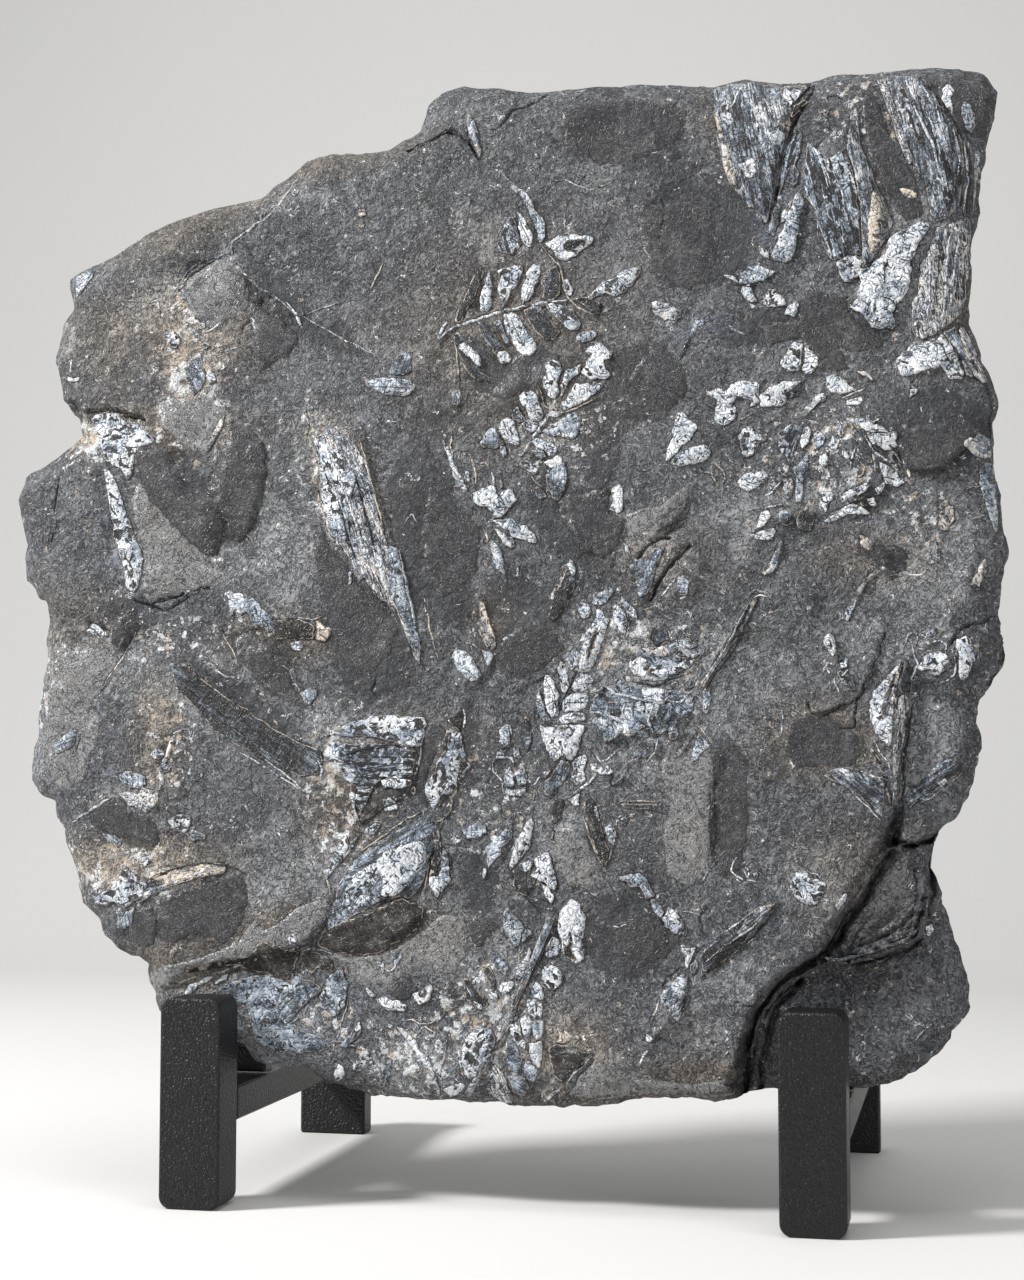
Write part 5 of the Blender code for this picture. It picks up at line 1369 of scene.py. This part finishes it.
press("bands_upper", films=(
    ("m", 78, (710,88,745,82,790,86,808,85,810,88,800,98,790,118,793,124,774,172,773,200,767,226,757,212,
        750,208,727,182,720,155)), ("t", 78, (713,110,719,118,736,175,739,188,734,190,728,182,724,170)),
    ("s", 75, (720,104,730,104,734,122,730,128,722,120)),
    ("t", 30, (771,121,783,122,791,118,793,124,789,133,783,127,774,128)),
    ("s", 60, (780,87,800,86,806,89,793,108,779,92)),
    ("b", 20, (768,132,775,130,785,132,787,138,780,147,774,148,769,140)),
    ("w", 0, (737,165,750,158,756,163,757,172,752,180,745,178)),
    ("x", 0, (744,166,750,165,750,172,745,173)),
    ("n", 110, (790,134,795,122,803,135,802,150,797,165,790,170,780,195,775,188,783,150)),
    ("p", 90, (790,168,795,164,799,172,798,184,793,188,788,183)),
    ("b", 112, (797,190,803,195,806,208,801,215,797,245,793,258,785,264,775,262,771,255)),
    ("w", 112, (791,200,794,200,786,222,781,224,781,214)),
    ("p", 110, (774,208,781,206,780,222,774,238,768,234,768,226)),
    ("w", 30, (759,245,770,252,771,258,768,261,758,253)),
    ("n", 75, (807,138,818,150,830,158,840,150,850,160,858,190,862,255,831,262,817,238,815,210,805,200,
        803,170)),
    ("m", 78, (848,135,850,112,858,106,861,145,893,222,888,240,870,262,862,262,860,210,852,165,846,150)),
    ("s", 70, (836,262,845,256,858,255,866,262,862,275,852,283,845,283,838,275)),
    ("t", 75, (872,190,880,195,891,224,886,240,878,250,870,255,866,235)),
    ("w", 112, (899,232,922,221,929,221,931,228,920,243,912,262,912,278,904,300,897,305,893,316,896,322,
        893,330,872,330,866,319,858,312,848,309,857,298,856,290,860,284,858,275,862,268,868,268,885,252,
        886,243,890,237)), ("b", 60, (888,282,898,280,905,285,902,296,894,302,888,294)),
    ("b", 90, (884,316,894,314,896,328,886,330)),
    ("m", 78, (876,80,893,76,918,75,926,82,963,140,965,160,961,200,955,212,945,220,935,222,930,215,925,185,
        899,140)), ("f", 72, (876,80,884,78,890,90,906,140,916,163,909,166,903,155)),
    ("n", 75, (896,88,905,86,918,116,925,145,916,142,900,106)),
    ("n", 78, (938,150,946,148,957,185,955,208,946,216,940,200,937,175)),
    ("w", 100, (942,88,950,84,956,90,952,100,954,112,948,110,942,100)),
    ("b", 80, (962,102,970,104,975,115,976,125,972,135,966,130,960,108)),
    ("b", 95, (974,152,979,150,981,158,974,213,972,212)),
    ("a", 84, (912,300,920,292,940,298,958,296,965,308,958,318,930,338,915,338,911,322)),
    ("f", 82, (937,226,945,228,960,218,968,217,972,228,967,300,965,308,958,318,940,332,922,340,915,338,
        911,330,912,318,917,300,920,270)),
    ("f", 84, (952,224,964,220,970,230,969,260,966,298,962,308,945,320,941,280,943,260)),
    ("x", 90, (930,310,936,306,938,315,932,322)),
    ("w", 20, (911,345,935,341,941,334,955,348,963,372,962,380,950,381,940,367,908,377,900,375,896,360)),
    ("g", 0, (900,352,912,350,914,356,904,362)),
    ("p", 75, (943,331,955,326,958,330,976,379,972,380,966,376,958,352,944,336)),
    ("f", 60, (958,324,964,327,972,342,989,384,983,385,975,378,968,365,962,350)),
    ("t", 20, (899,189,905,187,912,189,917,193,917,198,912,200,905,197)),
    ("b", 20, (738,283,742,272,748,266,757,264,775,270,781,268,775,275,760,283,745,286)),
    ("b", 60, (742,286,750,284,758,302,752,304,744,300,741,293)),
    ("s", 90, (762,300,766,290,771,287,778,290,787,304,778,308,768,308,762,306)),
    ("b", -50, (783,316,787,305,797,300,800,306,795,317)),
    ("x", 125, (789,116,796,104,806,98,808,104,792,120)),
), threads=(
    ("x", 2, (799,236,796,248,793,262)), ("w", 2, (725,88,721,98,716,106)),
    ("w", 2.2, (745,100,741,88,736,98,732,108)), ("t", 2.2, (765,96,770,108,776,118)),
    ("w", 2.2, (762,95,768,106,772,116)), ("w", 3, (812,143,818,155,824,170,829,188)),
    ("w", 2.4, (820,160,827,172,831,186)), ("w", 2.2, (822,190,826,202,828,214)),
    ("w", 2.2, (832,170,838,182,843,196,845,210)), ("w", 2.2, (806,160,810,174,812,186)),
    ("w", 2, (850,170,854,182,857,196)), ("w", 2.2, (818,222,824,236,830,250,834,260)),
    ("w", 2, (842,236,846,248)), ("x", 2.6, (826,98,832,95,838,96,843,99)),
    ("g", 2, (830,108,826,118,829,128)), ("x", 2, (896,259,904,260,912,263)),
    ("x", 2, (880,297,890,300,897,307)), ("x", 2.4, (884,262,885,272,884,284)),
    ("w", 4, (866,266,876,276,880,287,868,322)), ("x", 2, (862,300,868,306,866,316)),
    ("w", 4, (913,104,934,148,938,165)), ("w", 3, (926,112,932,125,936,138,940,150)),
    ("w", 2.6, (936,105,940,120,944,135,948,150)), ("x", 2.4, (930,82,946,112,962,136)),
    ("x", 2, (918,98,922,112,930,128,936,142)), ("w", 3, (905,78,910,90,917,102)),
    ("w", 2.6, (922,84,928,96,934,106)), ("w", 3.4, (954,130,957,146,960,160,958,176)),
    ("x", 2.4, (948,160,953,180,953,200,949,212)), ("w", 2.4, (980,152,977,164,979,174)),
    ("x", 4, (967,145,970,165,969,185,967,212)), ("a", 3.4, (964,140,969,180,963,212)),
    ("x", 2.4, (943,232,934,305)), ("w", 3, (952,228,948,250,944,315)),
    ("w", 3.4, (960,226,957,250,953,280,951,305)), ("a", 2.6, (926,256,922,275,920,300,916,322)),
    ("w", 2.6, (932,250,929,280,930,305,925,325)), ("x", 2.2, (938,340,945,352,950,362,957,372)),
    ("x", 2, (943,357,956,351)), ("x", 2, (945,348,949,343,946,338)), ("b", 4, (724,275,732,278,738,282)),
    ("x", 2, (736,284,746,287,757,286)), ("x", 1.6, (770,270,768,282)), ("x", 1.6, (902,172,907,176)),
    ("x", 2.4, (790,107,797,100,803,93,810,87)),
))

# ----------------------------------------
# A long strip of bark or stem, top left to centre: striped tan and white film with holes, narrowing
# to a point.

press("bark_strip", films=(
    ("f", 68, (310,433,318,436,330,425,352,440,370,465,380,520,410,610,421,658,420,665,414,658,396,610,
        372,590,365,580,356,575,342,550,333,545,327,535,322,518,318,465)),
    ("s", 66, (318,440,332,444,346,458,352,505,348,530,340,545,330,535,324,510)),
    ("w", 65, (340,470,352,470,358,478,350,500,344,490)), ("w", 66, (354,514,362,516,370,540,363,536)),
    ("w", 72, (350,525,354,530,360,555,354,552,350,540)),
    ("b", 72, (384,545,398,548,419,635,422,655,418,660,390,590)),
    ("w", 70, (372,548,380,545,392,598,386,594,380,580)),
    ("b", 60, (335,518,345,514,350,528,346,545,338,540)), ("w", 0, (348,572,353,572,352,584,348,586)),
    ("a", 60, (352,566,366,578,360,583,354,575)),
), threads=(
    ("w", 4, (332,458,352,510,376,588)), ("w", 3, (325,462,347,520,351,540)),
    ("w", 2.4, (322,440,330,448,335,455)), ("t", 2.4, (318,490,322,510,327,530,335,545)),
    ("t", 2.4, (360,440,384,530)), ("w", 2.4, (399,550,421,650)),
    ("t", 2.2, (372,590,380,598,388,602,395,612)), ("x", 2.4, (338,500,344,520,349,542,356,560)),
    ("x", 2.6, (356,478,376,552)), ("x", 2, (366,560,374,580,384,598)), ("w", 2, (365,488,370,500,374,512)),
    ("t", 2, (423,590,430,630,439,660)), ("a", 2, (306,440,309,425,305,410)), ("a", 1.8, (383,422,374,408)),
    ("a", 1.8, (405,523,412,514,417,522)),
))

# ----------------------------------------
# Charred band, lens leaves and the pale crusts of the left and lower left.

press("films_lower_left", films=(
    ("s", 0, (345,723,370,716,390,714,425,717,428,724,421,746,410,748,376,738,346,737,330,733,330,728,
        340,727)), ("t", 0, (332,728,340,725,346,731,333,733)),
    ("b", 0, (325,748,333,742,342,740,345,745,342,760,323,758)),
    ("n", 0, (338,742,380,744,418,750,414,775,405,780,385,778,375,785,362,815,352,800,358,790,345,780,
        340,765)), ("s", 0, (381,780,392,776,413,780,412,786,395,790,388,788,383,790)),
    ("s", 0, (382,798,390,797,396,802,398,810,383,813)),
    ("w", 85, (348,792,356,792,357,812,361,822,356,822)),
    ("s", 0, (342,775,352,772,358,776,352,784,346,782)),
    ("s", 110, (449,728,462,734,466,756,460,764,457,790,442,796,434,811,425,798,425,785,434,772,437,762,
        446,752)), ("d", 110, (447,728,452,732,450,745,445,755,440,758)),
    ("x", 60, (446,722,462,706,463,720,460,732)),
    ("p", 150, (331,915,338,885,345,870,366,848,425,815,437,815,445,820,436,842,428,872,422,885,410,900,
        400,897,385,902,355,916,328,935,318,938)),
    ("s", 140, (341,905,345,890,352,878,362,868,375,862,382,866,380,880,372,892,350,908)),
    ("w", 140, (375,862,385,852,397,846,420,841,428,847,427,862,420,874,400,894,388,897,380,896,383,882)),
    ("b", 140, (355,900,366,894,384,900,352,914,345,910)),
    ("x", 100, (438,825,443,845,442,858,432,885,428,880)),
    ("b", 80, (443,845,448,852,452,880,440,895,438,885)),
    ("w", 0, (430,876,440,876,446,884,437,900,429,884)),
    ("s", 120, (340,840,347,835,350,845,345,858,325,882,322,872,330,862)),
    ("a", 130, (352,840,362,832,346,860,342,862)), ("s", 140, (363,830,375,822,382,824,378,832,370,838)),
    ("a", 10, (118,793,128,791,138,793,143,785,158,792,160,800,155,808,148,813,130,806)),
    ("s", 0, (160,762,168,764,172,770,166,774,160,772)),
    ("f", -20, (110,900,118,890,165,872,185,868,224,866,212,873,160,892,140,904,128,900)),
    ("t", -10, (148,884,150,872,165,867,205,862,226,863,226,874,185,880,170,886)),
    ("s", 0, (88,892,98,896,120,880,125,870,133,872,140,880,150,884,145,895,125,909,115,903,105,906,
        97,903)), ("s", 0, (118,868,128,866,132,875,128,884,120,880)),
    ("s", 0, (138,858,148,856,152,862,145,868)),
    ("p", 80, (118,910,128,912,136,905,132,925,122,930,116,925)),
    ("a", 30, (100,832,112,834,126,841,118,848,108,842)),
    ("w", -35, (183,994,190,984,206,976,215,976,210,982,200,986,188,998)),
    ("w", 0, (222,975,230,972,228,980,212,986)), ("p", -25, (52,745,72,728,79,729,74,745,65,752,56,755)),
    ("w", 10, (85,632,95,622,110,634,108,637,95,636)),
    ("s", 75, (103,468,112,470,145,560,138,590,132,594,126,588,122,562,116,548)),
    ("p", 90, (247,445,252,441,257,450,257,462,250,464,246,455)),
    ("s", 0, (90,418,100,412,118,413,128,422,140,425,158,440,150,446,140,447,136,455,134,470,128,480,
        120,470,104,460,98,450,99,440)), ("a", 115, (215,430,220,418,226,414,224,425,208,455,203,450)),
    ("b", 80, (226,587,235,592,248,594,277,620,275,632,268,634,262,625,256,630,246,612,240,617,236,610,
        232,622,228,612)), ("t", 20, (316,620,332,628,330,636,325,642,316,640)),
    ("w", 0, (290,642,300,640,306,645,300,652,292,650)),
    ("b", 45, (300,693,308,688,318,690,316,700,310,706,303,700)),
    ("d", 35, (168,661,190,668,215,688,275,728,300,742,322,750,323,764,318,776,300,777,280,770,235,745,
        215,730,178,690)), ("s", 0, (150,755,158,748,165,752,163,760,155,760)),
    ("s", 0, (168,822,178,812,190,815,192,825,185,833,175,832,170,828)),
    ("p", 0, (185,833,195,830,206,834,205,840,192,842)),
    ("b", 0, (118,775,130,770,145,775,148,785,138,790,125,788)),
    ("v", 0, (215,990,235,980,255,975,275,972,300,975,325,990,310,1000,292,1020,300,1030,320,1035,332,1045,
        320,1053,300,1054,280,1052,262,1046,254,1036,245,1006)),
    ("v", 60, (330,975,342,968,350,985,345,1005,335,1018,325,1010,318,998)),
    ("b", 40, (278,1000,290,998,296,1008,285,1018,276,1012)),
    ("w", 20, (375,998,385,995,392,1000,400,999,408,1005,405,1012,388,1012,380,1006)),
    ("w", 0, (364,985,370,988,376,996,372,998,366,992)),
    ("w", 70, (412,993,418,990,420,998,425,996,430,980,434,990,430,1000,422,1005,415,1002)),
    ("w", 52, (396,1027,402,1026,418,1042,420,1050,430,1060,440,1085,440,1096,436,1096,428,1072)),
    ("p", 120, (340,1045,358,1022,362,1028,358,1038,345,1050)),
    ("w", 0, (354,1026,360,1020,362,1030,356,1032)),
    ("p", 110, (378,1085,382,1072,388,1062,393,1060,388,1082,382,1090)),
    ("w", 120, (333,1075,338,1062,344,1066,348,1074,342,1080,335,1082)),
    ("s", 0, (375,960,385,962,384,975,378,970)), ("b", 100, (391,953,400,948,404,956,398,966,392,962)),
    ("s", 0, (285,935,295,933,298,942,290,946)), ("b", 50, (74,280,81,273,97,268,94,277,76,301)),
    ("w", 0, (67,381,68,376,74,378,81,376,80,381,72,383)), ("w", 0, (198,324,205,322,206,328,200,330)),
    ("p", 60, (188,358,202,356,206,372,202,390,194,398,186,380)),
    ("s", 0, (165,335,175,330,182,340,178,350,170,348)), ("s", 0, (200,345,206,340,212,346,206,352)),
    ("s", 0, (205,375,214,374,218,382,210,385)), ("a", 0, (293,188,300,190,297,197,291,196)),
), threads=(
    ("w", 2.2, (323,760,333,758,345,762)), ("a", 2.4, (318,738,326,736,335,733)),
    ("w", 2.4, (318,760,322,770,320,780)), ("x", 2.4, (345,755,360,750,380,746,400,745)),
    ("x", 2, (360,770,385,766,410,762)), ("a", 2.6, (421,746,420,758,418,768,413,778)),
    ("a", 1.8, (410,790,414,787,416,791,413,794,410,790)), ("w", 2.4, (462,708,465,715,463,728)),
    ("a", 3, (460,775,467,770,470,765,467,762)), ("t", 2, (360,852,405,820,420,812,430,812)),
    ("t", 1.8, (433,823,442,820,450,812,453,800)), ("t", 2, (437,822,424,895)),
    ("x", 3, (362,825,372,815,385,807,400,802)), ("a", 2.4, (325,870,328,882,331,895)),
    ("a", 1.4, (345,945,362,935,388,925)), ("a", 1.2, (388,915,395,908,402,904,415,900)),
    ("a", 2.6, (346,957,350,948,352,940)),
    ("a", 5, (182,731,176,732,171,742,169,752,160,770,163,782,158,791)),
    ("x", 2, (145,882,160,874,185,866,205,863,235,867,245,874)), ("a", 3, (72,822,85,814,98,805,112,797)),
    ("a", 2.2, (210,975,222,972,235,967,245,965)), ("a", 2, (160,985,175,985,192,978,205,974)),
    ("x", 2.2, (81,733,78,745,76,752)), ("a", 2.4, (136,632,131,645,106,682)),
    ("x", 2.4, (134,634,128,647,102,686)), ("x", 2.4, (86,620,98,624,110,631)),
    ("a", 2, (285,618,298,617,312,620,322,616)), ("x", 1.8, (295,643,300,646)), ("w", 2, (240,752,310,795)),
    ("w", 2, (268,762,282,772,295,782,305,792)), ("g", 1.8, (200,700,225,722,250,742,275,756)),
    ("x", 2.6, (195,690,220,712,250,732,280,745)), ("a", 2, (210,662,218,672,228,678,235,676)),
    ("t", 1.6, (218,622,226,640,235,655,240,668)), ("a", 1.8, (282,665,290,672,295,684,301,692)),
    ("a", 2, (262,1033,272,1030,282,1026)), ("w", 1.6, (280,1016,288,1025,298,1018)),
    ("a", 1.8, (400,1020,412,1020,420,1024,432,1022,440,1020,446,1010)),
    ("a", 1.6, (418,1034,424,1026,436,1034,442,1026)), ("a", 1.6, (452,1020,460,1020,463,1028,455,1038)),
    ("a", 1.8, (448,1040,444,1055,440,1072,442,1088)), ("a", 1.6, (348,1000,330,1062)),
    ("a", 1.6, (330,1042,345,1042,360,1050)), ("a", 1.8, (300,953,312,948,325,951,345,957)),
    ("a", 2.4, (378,965,390,972,396,966,394,956)),
    ("a", 2.6, (299,178,273,212,233,241,231,250,243,273,262,290,280,300,300,318,304,332)),
    ("a", 2, (231,252,200,262,188,272,180,284)), ("x", 2.6, (182,287,190,276,202,267,214,261)),
    ("w", 3.4, (287,303,295,312,303,330)), ("w", 2.6, (270,297,279,299)),
    ("a", 1.8, (303,315,322,308,340,303)), ("a", 1.8, (300,315,345,340,385,360)),
    ("w", 2.6, (70,374,71,366,72,360)), ("w", 3, (183,322,192,330,200,336,206,340)),
    ("w", 2.4, (205,332,214,328,222,322)), ("a", 2.6, (148,303,158,300,160,310,160,318)),
    ("a", 2.4, (172,298,180,290,186,284)), ("w", 2.2, (222,352,232,349,238,347)),
))

# ----------------------------------------
# Films on the standing flake and the wedges beside it, low on the right: thin scraps on the broken
# edge of the leaf bed, and a wide black thread along the flake's right edge that is a painted shadow.

press("flake_films", films=(
    ("w", 110, (903,657,873,692,870,702,869,715,872,728,875,735,888,748,892,745,895,690)),
    ("d", 105, (898,668,888,716,882,722,880,708,884,692,890,678)),
    ("x", 100, (905,656,898,685,897,714,892,694,899,666)),
    ("f", 98, (898,697,905,694,910,700,910,712,900,765,899,800,896,811,889,820,893,790,893,750,900,720,
        897,708)), ("x", 0, (870,745,886,765,884,770,876,764,870,752)),
    ("x", 90, (886,782,892,800,890,808,884,790)), ("m", 40, (820,775,840,767,886,778,884,820,850,790)),
    ("m", -35, (905,800,908,790,945,756,962,763,965,768,935,795,915,808,907,810)),
    ("w", 0, (935,784,945,778,950,782,942,788)), ("w", 0, (925,926,932,923,935,930,930,938,926,936)),
    ("w", 0, (835,905,842,895,848,892,846,902,838,912)),
), threads=(
    # Painted shadow: the wide black thread along the flake's right edge stands for the shadow the flake
    # casts.
    ("x", 4, (913,702,904,765,903,812)), ("a", 1.6, (873,740,880,752,888,762,893,775)),
    ("w", 2, (850,790,862,802,872,812,881,821)), ("a", 2, (855,770,868,774,880,779,886,776)),
    ("x", 1.8, (918,800,930,790,942,779,956,769)), ("a", 1.8, (915,806,930,798,945,786,963,772)),
    ("a", 2, (868,958,880,962,893,954)), ("a", 2, (905,1015,915,1022,925,1028)),
    ("a", 2, (915,1040,925,1030,933,1022)),
))

# ----------------------------------------
# The stand: flat bar, cut, welded and powder coated black. Two front posts with softly rounded
# corners hold the slab's foot; arms, rear legs, back rests and a cross bar carry it from behind.

coat = Finish("black powder coat", specular_ior_level=0.42)
coat_place = coat.place()
leather = coat.cells(coat_place, 0.0010)
coat_mottle = coat.cloud(coat_place, 0.0007, 2.0, 0.6)
coat.paint("Base Color", coat.blend(
    coat.cloud(coat_place, 0.02, 3.0), (0.0035, 0.0035, 0.0038), (0.006, 0.006, 0.0065)))
coat.paint("Roughness", 0.29 + coat_mottle * 0.16)
coat.raise_by(coat_mottle * 0.4 - leather, 0.00045)

for name in ("left_arm", "right_arm", "left_rear_leg", "right_rear_leg", "left_back_rest", "right_back_rest",
             "cross_bar"):
    bpy.data.objects[name].data.materials.clear()
    bpy.data.objects[name].data.materials.append(coat.material)

POST_CORNER = 0.0048
POST_RIM = 0.0011


def smooth_post(name, node):
    """A post as its bar is cut: four corners along its depth rounded wide, every rim eased."""
    low, high = (Vector(corner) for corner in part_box(node))
    bm = bmesh.new()
    bmesh.ops.create_cube(bm, size=1.0)
    bmesh.ops.scale(bm, vec=high - low, verts=bm.verts)
    bmesh.ops.translate(bm, vec=(low + high) / 2, verts=bm.verts)
    along_y = [e for e in bm.edges if abs((e.verts[0].co - e.verts[1].co).y) > 1e-6]
    bmesh.ops.bevel(bm, geom=along_y, offset=POST_CORNER, segments=8, profile=0.5, affect="EDGES")
    rims = [e for e in bm.edges if e.calc_face_angle(0.0) > math.radians(60.0)]
    bmesh.ops.bevel(bm, geom=rims, offset=POST_RIM, segments=4, profile=0.5, affect="EDGES")
    mesh = bpy.data.meshes.new(name)
    bm.to_mesh(mesh)
    bm.free()
    mesh.shade_smooth()
    mesh.materials.append(coat.material)
    made = bpy.data.objects.new(name, mesh)
    bpy.context.scene.collection.objects.link(made)
    flats = made.modifiers.new("flats", "WEIGHTED_NORMAL")
    flats.keep_sharp = False
    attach(made, "root")
    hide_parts(node)


smooth_post("front_post_left", "left_post")
smooth_post("front_post_right", "right_post")
